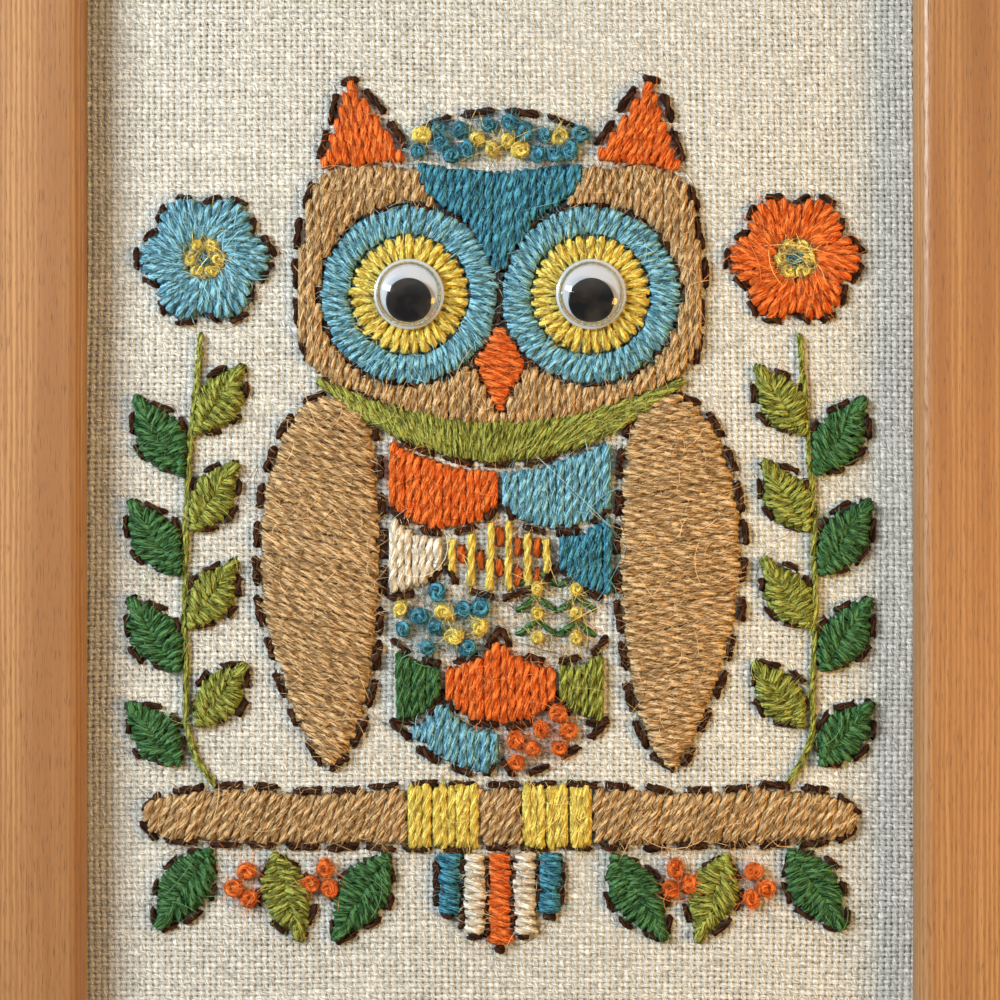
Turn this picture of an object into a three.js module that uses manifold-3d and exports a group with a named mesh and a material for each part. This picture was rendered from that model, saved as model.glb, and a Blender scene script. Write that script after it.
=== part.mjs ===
// A crewel embroidery in a plain wood frame, lying on its back.
// Linen is stretched over a mounting board, its margins turned to the back, and sits in the
// rabbet of four mitred rails with a backing board behind it. The worked wool stands proud of
// the linen as low mounds, and two moving craft eyes are glued on the owl's face.
// Millimetres, +Z out of the picture face, +Y the top of the picture, z = 0 the back of the
// rails. The origin is the middle of the back.
import * as THREE from 'three';
import { mergeVertices } from 'three/addons/utils/BufferGeometryUtils.js';
import Module from 'manifold-3d';

const wasm = await Module();
wasm.setup();

// ---- driving dimensions ---------------------------------------------------------------
const GAP = 0.3;                 // clearance between neighbouring pieces
const SIGHT_W = 115;             // opening of the frame, left to right
const SIGHT_H = 166;             // opening of the frame, bottom to top
const RAIL_FACE = 20;            // width of a rail seen from the front
const RAIL_DEPTH = 18;           // back to front
const LIP = 6.5;                 // how far the rabbet runs under the front lip
const LIP_THICK = 6;             // wood left in front of the rabbet
const OUTER_ROUND = 3.5;         // radius of a rail's outer front edge
const INNER_ROUND = 2.2;         // radius of its inner front edge
const CLOTH = 1;                 // thickness of the linen
const BOARD = 3;                 // mounting board and backing board
const PICTURE_W = 127;           // linen over its board, 5 x 7 inch
const PICTURE_H = 178;
const MARGIN = 18;               // linen turned in on the back of the mounting board
const WOOL = 1.1;                // height of the worked wool

const RABBET_Z = RAIL_DEPTH - LIP_THICK;
const LINEN_TOP = RABBET_Z - GAP;
const BOARD_TOP = LINEN_TOP - CLOTH - GAP;
const LINEN_BACK = BOARD_TOP - BOARD - GAP - CLOTH;
const BACKING_TOP = LINEN_BACK - GAP;
const WOOL_Z = LINEN_TOP + GAP;
const EYE_Z = WOOL_Z + WOOL + GAP;

// ---- materials ------------------------------------------------------------------------
const paint = (color, roughness) =>
  new THREE.MeshStandardMaterial({ color, roughness, metalness: 0 });
const COLOURS = {
  wood: paint(0xb9803f, 0.5),
  hardboard: paint(0x8a6a45, 0.8),
  card: paint(0xd9d2c3, 0.9),
  linen: paint(0xd6d0c0, 0.95),
  tan: paint(0xa98a5f, 0.95),
  orange: paint(0xcc6125, 0.95),
  olive: paint(0x8b8c38, 0.95),
  green: paint(0x2f6a3a, 0.95),
  cream: paint(0xd9cdb2, 0.95),
  blue: paint(0x6fa9c4, 0.95),
  white: paint(0xf1efea, 0.3),
  black: paint(0x101010, 0.35),
  clear: new THREE.MeshStandardMaterial({
    color: 0xe8eef0, roughness: 0.05, metalness: 0, transparent: true, opacity: 0.35,
  }),
};

const picture = new THREE.Group();

function add(name, geometry, material, x = 0, y = 0, z = 0, turn = 0) {
  const mesh = new THREE.Mesh(geometry, material);
  mesh.name = name;
  mesh.position.set(x, y, z);
  mesh.rotation.z = turn;
  picture.add(mesh);
  return mesh;
}

// ---- frame rails ----------------------------------------------------------------------
// Cross-section of a rail: [distance in from the outer edge, height]. Both front edges are
// rounded over, the inner one less than the outer one.
function roundedEdge(centreIn, centreZ, radius, from, to, steps) {
  const points = [];
  for (let i = 0; i <= steps; i += 1) {
    const a = from + (to - from) * (i / steps);
    points.push([centreIn + radius * Math.cos(a), centreZ + radius * Math.sin(a)]);
  }
  return points;
}

function railSection() {
  const innerSteps = 4;
  const outerSteps = 5;
  return [
    [0, 0],
    [RAIL_FACE - LIP, 0],
    [RAIL_FACE - LIP, RABBET_Z],
    [RAIL_FACE, RABBET_Z],
    ...roundedEdge(RAIL_FACE - INNER_ROUND, RAIL_DEPTH - INNER_ROUND, INNER_ROUND,
      0, Math.PI / 2, innerSteps),
    ...roundedEdge(OUTER_ROUND, RAIL_DEPTH - OUTER_ROUND, OUTER_ROUND,
      Math.PI / 2, Math.PI, outerSteps),
  ];
}

// A rail of the given outer length, its ends mitred at 45 degrees. It runs along X with its
// outer edge at y = 0 and the opening at +Y.
function mitredRail(outerLength) {
  const section = railSection();
  const mitreGap = GAP / Math.SQRT2;
  const position = [];
  for (const side of [-1, 1]) {
    for (const [inward, z] of section) {
      position.push(side * (outerLength / 2 - inward - mitreGap), inward, z);
    }
  }
  const n = section.length;
  const index = [];
  for (let i = 0; i < n; i += 1) {
    const j = (i + 1) % n;
    index.push(i, j, n + i, j, n + j, n + i);
  }
  const outline = section.map(([inward, z]) => new THREE.Vector2(inward, z));
  for (const [a, b, c] of THREE.ShapeUtils.triangulateShape(outline, [])) {
    index.push(a, c, b, n + a, n + b, n + c);
  }
  const geometry = new THREE.BufferGeometry();
  geometry.setAttribute('position', new THREE.Float32BufferAttribute(position, 3));
  geometry.setIndex(index);
  return geometry;
}

function frameRails() {
  const outerW = SIGHT_W + 2 * RAIL_FACE;
  const outerH = SIGHT_H + 2 * RAIL_FACE;
  const quarterTurn = Math.PI / 2;
  add('frame_rail_bottom', mitredRail(outerW), COLOURS.wood, 0, -outerH / 2, 0, 0);
  add('frame_rail_right', mitredRail(outerH), COLOURS.wood, outerW / 2, 0, 0, quarterTurn);
  add('frame_rail_top', mitredRail(outerW), COLOURS.wood, 0, outerH / 2, 0, 2 * quarterTurn);
  add('frame_rail_left', mitredRail(outerH), COLOURS.wood, -outerW / 2, 0, 0, -quarterTurn);
}

// ---- boards and linen -----------------------------------------------------------------
function block(width, height, bottom, top) {
  return new THREE.BoxGeometry(width, height, top - bottom).translate(0, 0, (bottom + top) / 2);
}

// A three.js geometry as a solid that can be cut.
function toSolid(geometry) {
  const bare = geometry.clone();
  bare.deleteAttribute('normal');
  bare.deleteAttribute('uv');
  const merged = mergeVertices(bare);
  return new wasm.Manifold(new wasm.Mesh({
    numProp: 3,
    vertProperties: new Float32Array(merged.attributes.position.array),
    triVerts: new Uint32Array(merged.index.array),
  }));
}

function toGeometry(solid) {
  const mesh = solid.getMesh();
  const geometry = new THREE.BufferGeometry();
  geometry.setAttribute('position', new THREE.BufferAttribute(mesh.vertProperties, 3));
  geometry.setIndex(new THREE.BufferAttribute(mesh.triVerts, 1));
  return geometry;
}

// The linen is one sheet: its face, its four sides, and the margin turned in behind, which
// leaves a window over the back of the mounting board.
function boardsAndLinen() {
  const wall = CLOTH + GAP;
  add('backing_board', block(PICTURE_W, PICTURE_H, BACKING_TOP - BOARD, BACKING_TOP),
    COLOURS.hardboard);
  add('mounting_board',
    block(PICTURE_W - 2 * wall, PICTURE_H - 2 * wall, BOARD_TOP - BOARD, BOARD_TOP),
    COLOURS.card);
  const outside = toSolid(block(PICTURE_W, PICTURE_H, LINEN_BACK, LINEN_TOP));
  const inside = toSolid(block(PICTURE_W - 2 * CLOTH, PICTURE_H - 2 * CLOTH,
    LINEN_BACK + CLOTH, LINEN_TOP - CLOTH));
  const backWindow = toSolid(block(PICTURE_W - 2 * MARGIN, PICTURE_H - 2 * MARGIN,
    LINEN_BACK - CLOTH, LINEN_BACK + 2 * CLOTH));
  add('linen_ground', toGeometry(outside.subtract(inside).subtract(backWindow)), COLOURS.linen);
}

// ---- worked wool ----------------------------------------------------------------------
const EDGE_ROUND = 0.35;         // softened edge of a wool mound

// A worked area as one low solid, its upper and lower edges bevelled.
function mound(outline) {
  return new THREE.ExtrudeGeometry(new THREE.Shape(outline), {
    depth: WOOL - 2 * EDGE_ROUND,
    bevelThickness: EDGE_ROUND,
    bevelSize: EDGE_ROUND,
    bevelOffset: -EDGE_ROUND,
    bevelSegments: 1,
  }).translate(0, 0, EDGE_ROUND);
}

// A smooth closed line through the corners, as evenly spaced points.
function smoothOutline(corners, count) {
  const points = corners.map(([x, y]) => new THREE.Vector3(x, y, 0));
  const curve = new THREE.CatmullRomCurve3(points, true, 'centripetal');
  return curve.getSpacedPoints(count).slice(0, -1).map((p) => new THREE.Vector2(p.x, p.y));
}

// Corners seen in a mirror along the middle of the picture, in the same turning sense.
function reflected(corners) {
  return corners.map(([x, y]) => [-x, y]).reverse();
}

// Corners of one side, closed by their reflection.
function mirrored(rightSide) {
  return [...rightSide, ...reflected(rightSide)];
}

// The owl's head and breast in one mound, from the crown down its right side.
const BODY_SIDE = [
  [6, 53], [12, 51], [21, 58], [24.5, 46], [27.6, 32], [26.4, 20],
  [17.2, 12.5], [15.9, 0], [15.8, -20], [12.5, -33], [5, -38.4],
];
// The right wing, from the shoulder round its outer edge to the tip and back.
const WING = [
  [19.4, 12], [25.5, 14], [31.2, 6], [33.2, -8], [31, -22], [23.5, -37],
  [19.8, -31], [17.4, -18], [17, -2],
];
const TAIL_SIDE = [[4, -49], [8.4, -49.4], [9, -57], [5.5, -61.6]];
const BRANCH_SIDE = [
  [3, -40.2], [14, -40.2], [26, -41], [40, -40.4], [49, -42.6],
  [48.6, -46], [38, -47.2], [22, -47.6], [3, -47.8],
];

// The motifs with a free outline, and how many points each outline gets.
const MOTIFS = [
  { name: 'wool_owl_body', corners: mirrored(BODY_SIDE), points: 64, colour: 'tan' },
  { name: 'wool_tail', corners: mirrored(TAIL_SIDE), points: 20, colour: 'cream' },
  { name: 'wool_branch', corners: mirrored(BRANCH_SIDE), points: 44, colour: 'tan' },
  { name: 'wool_wing_right', corners: WING, points: 36, colour: 'tan' },
  { name: 'wool_wing_left', corners: reflected(WING), points: 36, colour: 'tan' },
];

const LEAF_STEPS = 8;            // points along each edge of a leaf
const LEAF_BELLY = 0.85;         // under 1, the widest place lies nearer the stalk

// A pointed oval along +X from the origin, up one edge and back down the other.
function leafOutline(length, width) {
  const edge = (side) => Array.from({ length: LEAF_STEPS }, (_, i) => {
    const t = side > 0 ? i / LEAF_STEPS : 1 - i / LEAF_STEPS;
    const half = (width / 2) * Math.sin(Math.PI * t ** LEAF_BELLY);
    return new THREE.Vector2(t * length, side * half);
  });
  return [...edge(1), ...edge(-1)];
}

// Leaves of the right spray: stalk end x and y, direction in degrees, length and width.
const LEAVES = [
  { x: 44.6, y: -36.5, direction: 50, length: 11, width: 6.4 },
  { x: 41.9, y: -31, direction: 128, length: 10.5, width: 6.2 },
  { x: 44.8, y: -23.5, direction: 56, length: 12, width: 6.6 },
  { x: 42.9, y: -17.5, direction: 124, length: 11, width: 6.2 },
  { x: 44.7, y: -10, direction: 56, length: 12, width: 6.6 },
  { x: 42.6, y: -4, direction: 122, length: 11, width: 6.2 },
  { x: 44.2, y: 4, direction: 58, length: 12, width: 6.6 },
  { x: 41.9, y: 9.5, direction: 124, length: 11, width: 6.2 },
  { x: 15.8, y: -49.6, direction: -58, length: 13.5, width: 7 },
  { x: 31.4, y: -49.4, direction: -108, length: 12.5, width: 6.8 },
  { x: 40.4, y: -48.8, direction: -56, length: 13, width: 7 },
];

const FLOWER = { x: 41, y: 33.5, radius: 9.2, petals: 6 };
const PETAL_STEPS = 6;           // points round each petal
const PETAL_NOTCH = 0.24;        // depth of the notch between petals, as a share of the radius
const PETAL_ROUND = 0.7;         // under 1, the petals are blunter and the notches sharper

function flowerOutline(radius, petals) {
  const count = petals * PETAL_STEPS;
  return Array.from({ length: count }, (_, i) => {
    const turn = (2 * Math.PI * i) / count;
    const swell = Math.abs(Math.cos((petals * turn) / 2)) ** PETAL_ROUND;
    const r = radius * (1 - PETAL_NOTCH + PETAL_NOTCH * swell);
    return new THREE.Vector2(r * Math.cos(turn), r * Math.sin(turn));
  });
}

function workedWool() {
  for (const { name, corners, points, colour } of MOTIFS) {
    add(name, mound(smoothOutline(corners, points)), COLOURS[colour], 0, 0, WOOL_Z);
  }
  for (const [side, sign, colour] of [['right', 1, 'orange'], ['left', -1, 'blue']]) {
    add(`wool_flower_${side}`, mound(flowerOutline(FLOWER.radius, FLOWER.petals)),
      COLOURS[colour], sign * FLOWER.x, FLOWER.y, WOOL_Z);
    LEAVES.forEach((leaf, i) => {
      const turn = THREE.MathUtils.degToRad(sign > 0 ? leaf.direction : 180 - leaf.direction);
      add(`wool_leaf_${side}_${i + 1}`, mound(leafOutline(leaf.length, leaf.width)),
        i % 2 ? COLOURS.olive : COLOURS.green, sign * leaf.x, leaf.y, WOOL_Z, turn);
    });
  }
}

// ---- moving craft eyes ----------------------------------------------------------------
const EYE_X = 12.6;              // each eye, either side of the middle
const EYE_Y = 28.5;
const EYE_RADIUS = 4.95;         // outside of the clear dome
const EYE_WALL = 0.35;           // thickness of the dome's straight wall
const EYE_SIDES = 40;
const DOME_WALL_HEIGHT = 1.2;    // straight part of the dome's wall
const DOME_RISE = 1.75;          // outside, above the straight wall
const DOME_RISE_INSIDE = 1.3;
const DOME_STEPS = 6;            // steps of the outer arc, and one fewer inside
const BASE_THICK = 0.6;          // white backing disc
const PUPIL_RADIUS = 3.2;
const PUPIL_THICK = 0.5;
const PUPIL_DROP = 1;            // the loose pupil lies this far below the middle

function lathe(profile) {
  const points = profile.map(([r, z]) => new THREE.Vector2(r, z));
  return new THREE.LatheGeometry(points, EYE_SIDES).rotateX(Math.PI / 2);
}

function disc(radius, bottom, top) {
  return lathe([[0, bottom], [radius, bottom], [radius, top], [0, top]]);
}

// The dome's profile from the top of its wall to its crown, a quarter of an ellipse.
function domeArc(radius, rise, steps) {
  return Array.from({ length: steps + 1 }, (_, i) => {
    const a = (Math.PI / 2) * (i / steps);
    return [i === steps ? 0 : radius * Math.cos(a), DOME_WALL_HEIGHT + rise * Math.sin(a)];
  });
}

function clearDome() {
  const inner = EYE_RADIUS - EYE_WALL;
  return lathe([
    ...domeArc(inner, DOME_RISE_INSIDE, DOME_STEPS - 1).reverse(),
    [inner, 0],
    [EYE_RADIUS, 0],
    ...domeArc(EYE_RADIUS, DOME_RISE, DOME_STEPS),
  ]);
}

function craftEyes() {
  const baseRadius = EYE_RADIUS - EYE_WALL - GAP;
  const pupilBottom = BASE_THICK + GAP;
  for (const [side, x] of [['left', -EYE_X], ['right', EYE_X]]) {
    add(`eye_${side}_base`, disc(baseRadius, 0, BASE_THICK), COLOURS.white, x, EYE_Y, EYE_Z);
    add(`eye_${side}_pupil`, disc(PUPIL_RADIUS, pupilBottom, pupilBottom + PUPIL_THICK),
      COLOURS.black, x, EYE_Y - PUPIL_DROP, EYE_Z);
    add(`eye_${side}_dome`, clearDome(), COLOURS.clear, x, EYE_Y, EYE_Z);
  }
}

frameRails();
boardsAndLinen();
workedWool();
craftEyes();

export default picture;
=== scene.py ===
import math

import bmesh
import bpy
import numpy as np
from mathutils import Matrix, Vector
from mathutils.bvhtree import BVHTree


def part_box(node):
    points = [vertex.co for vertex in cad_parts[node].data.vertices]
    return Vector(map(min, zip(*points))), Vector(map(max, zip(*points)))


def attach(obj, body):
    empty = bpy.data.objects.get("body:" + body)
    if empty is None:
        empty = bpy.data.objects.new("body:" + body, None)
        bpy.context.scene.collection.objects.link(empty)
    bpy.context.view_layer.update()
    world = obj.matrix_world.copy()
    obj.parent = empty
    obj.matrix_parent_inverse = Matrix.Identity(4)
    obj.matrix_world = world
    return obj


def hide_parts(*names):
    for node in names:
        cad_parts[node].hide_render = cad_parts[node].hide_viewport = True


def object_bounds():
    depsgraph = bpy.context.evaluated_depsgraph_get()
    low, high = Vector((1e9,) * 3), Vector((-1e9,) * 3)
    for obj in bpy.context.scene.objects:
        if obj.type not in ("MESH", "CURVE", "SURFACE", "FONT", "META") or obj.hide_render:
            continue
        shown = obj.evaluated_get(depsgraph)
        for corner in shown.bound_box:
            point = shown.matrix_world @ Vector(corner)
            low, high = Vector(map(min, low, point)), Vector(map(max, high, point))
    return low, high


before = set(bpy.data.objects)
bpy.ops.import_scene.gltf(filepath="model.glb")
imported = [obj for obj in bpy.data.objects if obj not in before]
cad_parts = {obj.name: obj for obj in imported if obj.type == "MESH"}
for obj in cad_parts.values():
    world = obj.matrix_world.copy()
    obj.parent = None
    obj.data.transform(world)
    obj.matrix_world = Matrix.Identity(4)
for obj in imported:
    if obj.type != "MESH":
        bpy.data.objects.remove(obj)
cad_low, cad_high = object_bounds()

# ---- camera ----------------------------------------------------------------------------
# The picture lies on its back and is looked at from straight above, so close that the
# stitching fills the view and only the inner parts of the two side rails show. The room
# is laid out in metres, and the pieces in millimetres.
PICTURE_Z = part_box("linen_ground")[1].z
VIEW_WIDTH = 0.139
CAMERA_HEIGHT = 0.42

camera_data = bpy.data.cameras.new("camera")
camera_data.sensor_width = 36
camera_data.lens = camera_data.sensor_width * CAMERA_HEIGHT / VIEW_WIDTH
camera = bpy.data.objects.new("camera", camera_data)
camera.location = (0, 0, PICTURE_Z + CAMERA_HEIGHT)
bpy.context.scene.collection.objects.link(camera)
bpy.context.scene.camera = camera
bpy.context.scene.view_settings.view_transform = "Standard"


# ---- floor and light -------------------------------------------------------------------
# A plain pale floor, lit by a broad cool window light from the upper left and a smaller
# warm lamp on the right, under a pale sky that dims towards the foot of the picture.
def add_node(tree, kind, inputs=None, **settings):
    """A shader node with its settings made, and its inputs set or linked."""
    made = tree.nodes.new(kind)
    for key, value in settings.items():
        setattr(made, key, value)
    for key, value in (inputs or {}).items():
        if isinstance(value, bpy.types.NodeSocket):
            tree.links.new(value, made.inputs[key])
        else:
            made.inputs[key].default_value = value
    return made


def mixed(tree, factor, a, b, kind="MIX"):
    """Colours a and b blended by the factor."""
    sockets = {0: factor, 6: a, 7: b}
    return add_node(tree, "ShaderNodeMix", sockets, data_type="RGBA", blend_type=kind).outputs[2]


def ranged(tree, value, low, high, to_low=0.0, to_high=1.0):
    """A value taken from low..high to a new range, and held inside it."""
    sockets = {0: value, 1: low, 2: high, 3: to_low, 4: to_high}
    return add_node(tree, "ShaderNodeMapRange", sockets).outputs[0]


def noise(tree, scale, detail, roughness=0.5, place=None):
    """Cloudy noise, at a place or spread over the whole piece."""
    sockets = {"Scale": scale, "Detail": detail, "Roughness": roughness}
    if place is not None:
        sockets["Vector"] = place
    return add_node(tree, "ShaderNodeTexNoise", sockets).outputs["Fac"]


def new_material(name, **values):
    """A material, and its Principled shader with these plain values."""
    material = bpy.data.materials.new(name)
    material.use_nodes = True
    shader = material.node_tree.nodes["Principled BSDF"]
    for key, value in values.items():
        shader.inputs[key.replace("_", " ")].default_value = value
    return material, material.node_tree, shader


def feed(tree, node, **sources):
    """Leads what is worked out to the node's sockets of these names."""
    for key, source in sources.items():
        tree.links.new(source, node.inputs[key.replace("_", " ")])


def area_light(name, place, aim, size, spread, watts, colour, mirrored=True):
    """A rectangular light turned to its aim; mirrored says if gloss shows its image."""
    data = bpy.data.lights.new(name, "AREA")
    data.shape = "RECTANGLE"
    data.size, data.size_y = size
    data.spread = math.radians(spread)
    data.energy = watts
    data.color = colour
    lamp = bpy.data.objects.new(name, data)
    lamp.location = place
    lamp.rotation_euler = (Vector(aim) - Vector(place)).to_track_quat("-Z", "Y").to_euler()
    lamp.visible_camera = False
    lamp.visible_glossy = mirrored
    bpy.context.scene.collection.objects.link(lamp)


area_light("window", place=(-0.45, 0.17, 0.43), aim=(0, 0.03, 0), size=(0.10, 0.30), spread=100,
           watts=1.58, colour=(0.93, 0.98, 1.0))
area_light("lamp", place=(0.35, -0.06, 0.23), aim=(0.05, 0, 0), size=(0.09, 0.18), spread=64,
           watts=0.22, colour=(1.0, 0.54, 0.08), mirrored=False)
SKY_DIM, SKY_PALE = (0.15, 0.155, 0.16, 1), (0.68, 0.66, 0.62, 1)
world = bpy.data.worlds.new("sky")
world.use_nodes = True
tree = world.node_tree
direction = add_node(tree, "ShaderNodeTexCoord").outputs["Generated"]
towards_top = add_node(tree, "ShaderNodeSeparateXYZ", {0: direction}).outputs["Y"]
sky = mixed(tree, ranged(tree, towards_top, 0.0, 0.4), SKY_DIM, SKY_PALE)
feed(tree, tree.nodes["Background"], Color=sky)
bpy.context.scene.world = world

FLOOR_HALF = 1.5
FLOOR_TONES = (0.60, 0.595, 0.58, 1), (0.65, 0.645, 0.63, 1)
CORNERS = ((-1, -1), (1, -1), (1, 1), (-1, 1))
floor_mesh = bpy.data.meshes.new("floor")
floor_corners = [(x * FLOOR_HALF, y * FLOOR_HALF, cad_low.z) for x, y in CORNERS]
floor_mesh.from_pydata(floor_corners, [], [(0, 1, 2, 3)])
floor = bpy.data.objects.new("floor", floor_mesh)
bpy.context.scene.collection.objects.link(floor)
floor_material, tree, shader = new_material("floor", Roughness=0.7)
feed(tree, shader, Base_Color=mixed(tree, noise(tree, 6.0, 3.0), *FLOOR_TONES))
floor_mesh.materials.append(floor_material)

# ---- backing board ---------------------------------------------------------------------
# A thin hardboard panel, sawn to the size of the rabbet and pressed in behind the picture.
# Its edges are a little worn, and its pressed fibres show as a fine brown mottle.
MM = 0.001
WORN_EDGE = 0.35


def new_piece(name, points, quads, material, slot, body="root", uv=None, tone_and_painted_shade=None, tris=None):
    """A smooth mesh from arrays. Points are in millimetres; uv is per corner of the quads."""
    tris = np.zeros((0, 3), int) if tris is None else tris
    corners = np.r_[quads.ravel(), tris.ravel()].astype(np.int32)
    starts = np.r_[np.arange(0, quads.size, 4), quads.size + np.arange(0, tris.size, 3)]
    mesh = bpy.data.meshes.new(name)
    mesh.vertices.add(len(points))
    mesh.vertices.foreach_set("co", (np.asarray(points) * MM).astype(np.float32).ravel())
    mesh.loops.add(len(corners))
    mesh.loops.foreach_set("vertex_index", corners)
    mesh.polygons.add(len(starts))
    mesh.polygons.foreach_set("loop_start", starts.astype(np.int32))
    mesh.polygons.foreach_set("use_smooth", np.ones(len(starts), bool))
    if uv is not None:
        layer = mesh.uv_layers.new(name="strand")
        layer.data.foreach_set("uv", uv.astype(np.float32).ravel())
    if tone_and_painted_shade is not None:
        colours = np.ones((len(points), 4), np.float32)
        colours[:, :3] = tone_and_painted_shade
        shades = mesh.attributes.new("tone_and_painted_shade", "FLOAT_COLOR", "POINT")
        shades.data.foreach_set("color", colours.ravel())
    mesh.update(calc_edges=True)
    mesh.materials.append(material)
    piece = bpy.data.objects.new(name, mesh)
    bpy.context.scene.collection.objects.link(piece)
    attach(piece, body)
    return piece


def in_millimetres(node):
    """The box of a CAD node, as its low and high corner."""
    low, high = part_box(node)
    return np.array(low) / MM, np.array(high) / MM


def band_quads(rings, around):
    """The quads between neighbouring rings, each with so many points around."""
    i, k = np.meshgrid(np.arange(rings - 1), np.arange(around), indexing="ij")
    i, k = i.ravel() * around, k.ravel()
    after = (k + 1) % around
    return np.stack([i + k, i + after, i + around + after, i + around + k], -1)


def board_mesh(low, high):
    """A flat board between two corners, its edges eased by a small round."""
    edge, ease = WORN_EDGE, 0.3 * WORN_EDGE
    rings = []
    for inset, z in ((edge, low[2]), (ease, low[2] + ease), (0, low[2] + edge),
                     (0, high[2] - edge), (ease, high[2] - ease), (edge, high[2])):
        rings.append([(low[0] + inset, low[1] + inset, z), (high[0] - inset, low[1] + inset, z),
                      (high[0] - inset, high[1] - inset, z), (low[0] + inset, high[1] - inset, z)])
    last = 4 * (len(rings) - 1)
    caps = [(3, 2, 1, 0), (last, last + 1, last + 2, last + 3)]
    return np.array(rings, float).reshape(-1, 3), np.vstack([band_quads(len(rings), 4), caps])


def new_group(name, inputs, outputs):
    """A shader group with its named sockets; gives what goes in, and the node that puts out."""
    group = bpy.data.node_groups.new(name, "ShaderNodeTree")
    for way, sockets in (("INPUT", inputs), ("OUTPUT", outputs)):
        for label, kind in sockets.items():
            group.interface.new_socket(label, in_out=way, socket_type=f"NodeSocket{kind}")
    return group, group.nodes.new("NodeGroupInput").outputs, group.nodes.new("NodeGroupOutput")


def use_group(tree, group, inputs):
    """The group placed in a material with its own values; gives its outputs."""
    return add_node(tree, "ShaderNodeGroup", inputs, node_tree=group).outputs


def worked_out(tree, operation, *values):
    """One sum of two or three values."""
    return add_node(tree, "ShaderNodeMath", dict(enumerate(values)), operation=operation).outputs[0]


def object_place(tree):
    """Where a point lies on its piece, in metres."""
    return add_node(tree, "ShaderNodeTexCoord").outputs["Object"]


pressed_fibres, given, out = new_group(
    "pressed_fibres", {"Dark": "Color", "Light": "Color", "Size": "Float"},
    {"Color": "Color", "Height": "Float"})
place = object_place(pressed_fibres)
flecks = noise(pressed_fibres, given["Size"], 6.0, 0.65, place)
clouds = worked_out(pressed_fibres, "MULTIPLY", noise(pressed_fibres, 30.0, 2.0, place=place), 0.25)
amount = worked_out(pressed_fibres, "MULTIPLY_ADD", flecks, 0.75, clouds)
spread = ranged(pressed_fibres, amount, 0.3, 0.7)
mottle = mixed(pressed_fibres, spread, given["Dark"], given["Light"])
feed(pressed_fibres, out, Color=mottle, Height=amount)


def dye(red, green, blue):
    """A colour as the eye names it, 0 to 255, in the light values that a shader takes."""
    parts = [c / 255 for c in (red, green, blue)]
    return (*[c / 12.92 if c <= 0.04045 else ((c + 0.055) / 1.055) ** 2.4 for c in parts], 1)


def relief(tree, shader, height, distance, strength=1.0):
    """Surface relief, in metres, from a height of 0 to 1."""
    sockets = {"Height": height, "Distance": distance, "Strength": strength}
    feed(tree, shader, Normal=add_node(tree, "ShaderNodeBump", sockets).outputs["Normal"])


def board_finish(name, dark, light, size, distance, strength, **values):
    """Pressed board, mottled from dark to light, its flecks so many to the metre."""
    material, tree, shader = new_material(name, **values)
    mottle = use_group(tree, pressed_fibres, {"Dark": dark, "Light": light, "Size": size})
    feed(tree, shader, Base_Color=mottle["Color"])
    relief(tree, shader, mottle["Height"], distance, strength)
    return material


hardboard = board_finish("hardboard", dye(104, 76, 50), dye(164, 126, 84), size=700.0,
                         distance=0.00025, strength=0.6, Roughness=0.75, Specular_IOR_Level=0.3)
backing = new_piece("hardboard_back", *board_mesh(*in_millimetres("backing_board")),
                    hardboard, "backing_board")
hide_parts("backing_board")

# ---- mounting board --------------------------------------------------------------------
# A stiff off-white card that the linen is stretched over. It hardly shows: only its back
# can be seen through the window that the turned-in linen leaves.
card = board_finish("mounting_card", dye(196, 188, 170), dye(228, 222, 208), size=1400.0,
                    distance=0.0001, strength=0.4, Roughness=0.85, Specular_IOR_Level=0.2)
mounting_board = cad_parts["mounting_board"]
mounting_board.data.materials.clear()
mounting_board.data.materials.append(card)

# ---- frame rails -----------------------------------------------------------------------
# Four rails of plain oak, rounded over at both front edges and rabbeted behind, mitred and
# glued at the corners. Rubbed with honey-coloured oil wax, so the pores stay open.
OUTER = in_millimetres("frame_rail_top")[1][:2]
RAIL_DEPTH, RABBET_DEPTH = 18.0, 12.0
RAIL_FACE, RAIL_LIP = 20.0, 6.5
RABBET_AT = RAIL_FACE - RAIL_LIP
OUTER_ROUND, INNER_ROUND = 3.5, 2.2
BACK_EASE, RABBET_EASE, LIP_EASE = 0.4, 0.3, 0.2
MITRE_GAP = 0.03
ROUND_STEPS = 8
RAIL_STATIONS = 24
GRAIN_APART = 400


def quarter(centre_in, centre_z, radius, start):
    """A quarter round of the section, from a start angle in degrees."""
    angles = math.radians(start) + np.linspace(0, math.pi / 2, ROUND_STEPS + 1)
    return [(centre_in + radius * math.cos(a), centre_z + radius * math.sin(a)) for a in angles]


rail_section = np.array([
    (BACK_EASE, 0.0), (RABBET_AT - RABBET_EASE, 0.0), (RABBET_AT, RABBET_EASE),
    (RABBET_AT, RABBET_DEPTH), (RAIL_FACE - LIP_EASE, RABBET_DEPTH),
    (RAIL_FACE, RABBET_DEPTH + LIP_EASE),
    *quarter(RAIL_FACE - INNER_ROUND, RAIL_DEPTH - INNER_ROUND, INNER_ROUND, 0),
    (RAIL_FACE / 2, RAIL_DEPTH),
    *quarter(OUTER_ROUND, RAIL_DEPTH - OUTER_ROUND, OUTER_ROUND, 90),
    (0.0, BACK_EASE)])


def strand_place(tree):
    """How far along and across its strand or rail a point lies, in millimetres."""
    return add_node(tree, "ShaderNodeUVMap", uv_map="strand").outputs["UV"]


def drawn_out(tree, place, along, across):
    """The place scaled along and across, so that noise is drawn out along the grain."""
    parts = add_node(tree, "ShaderNodeSeparateXYZ", {0: place}).outputs
    sockets = {0: worked_out(tree, "MULTIPLY", parts[0], along),
               1: worked_out(tree, "MULTIPLY", parts[1], across)}
    return add_node(tree, "ShaderNodeCombineXYZ", sockets).outputs[0]


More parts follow.
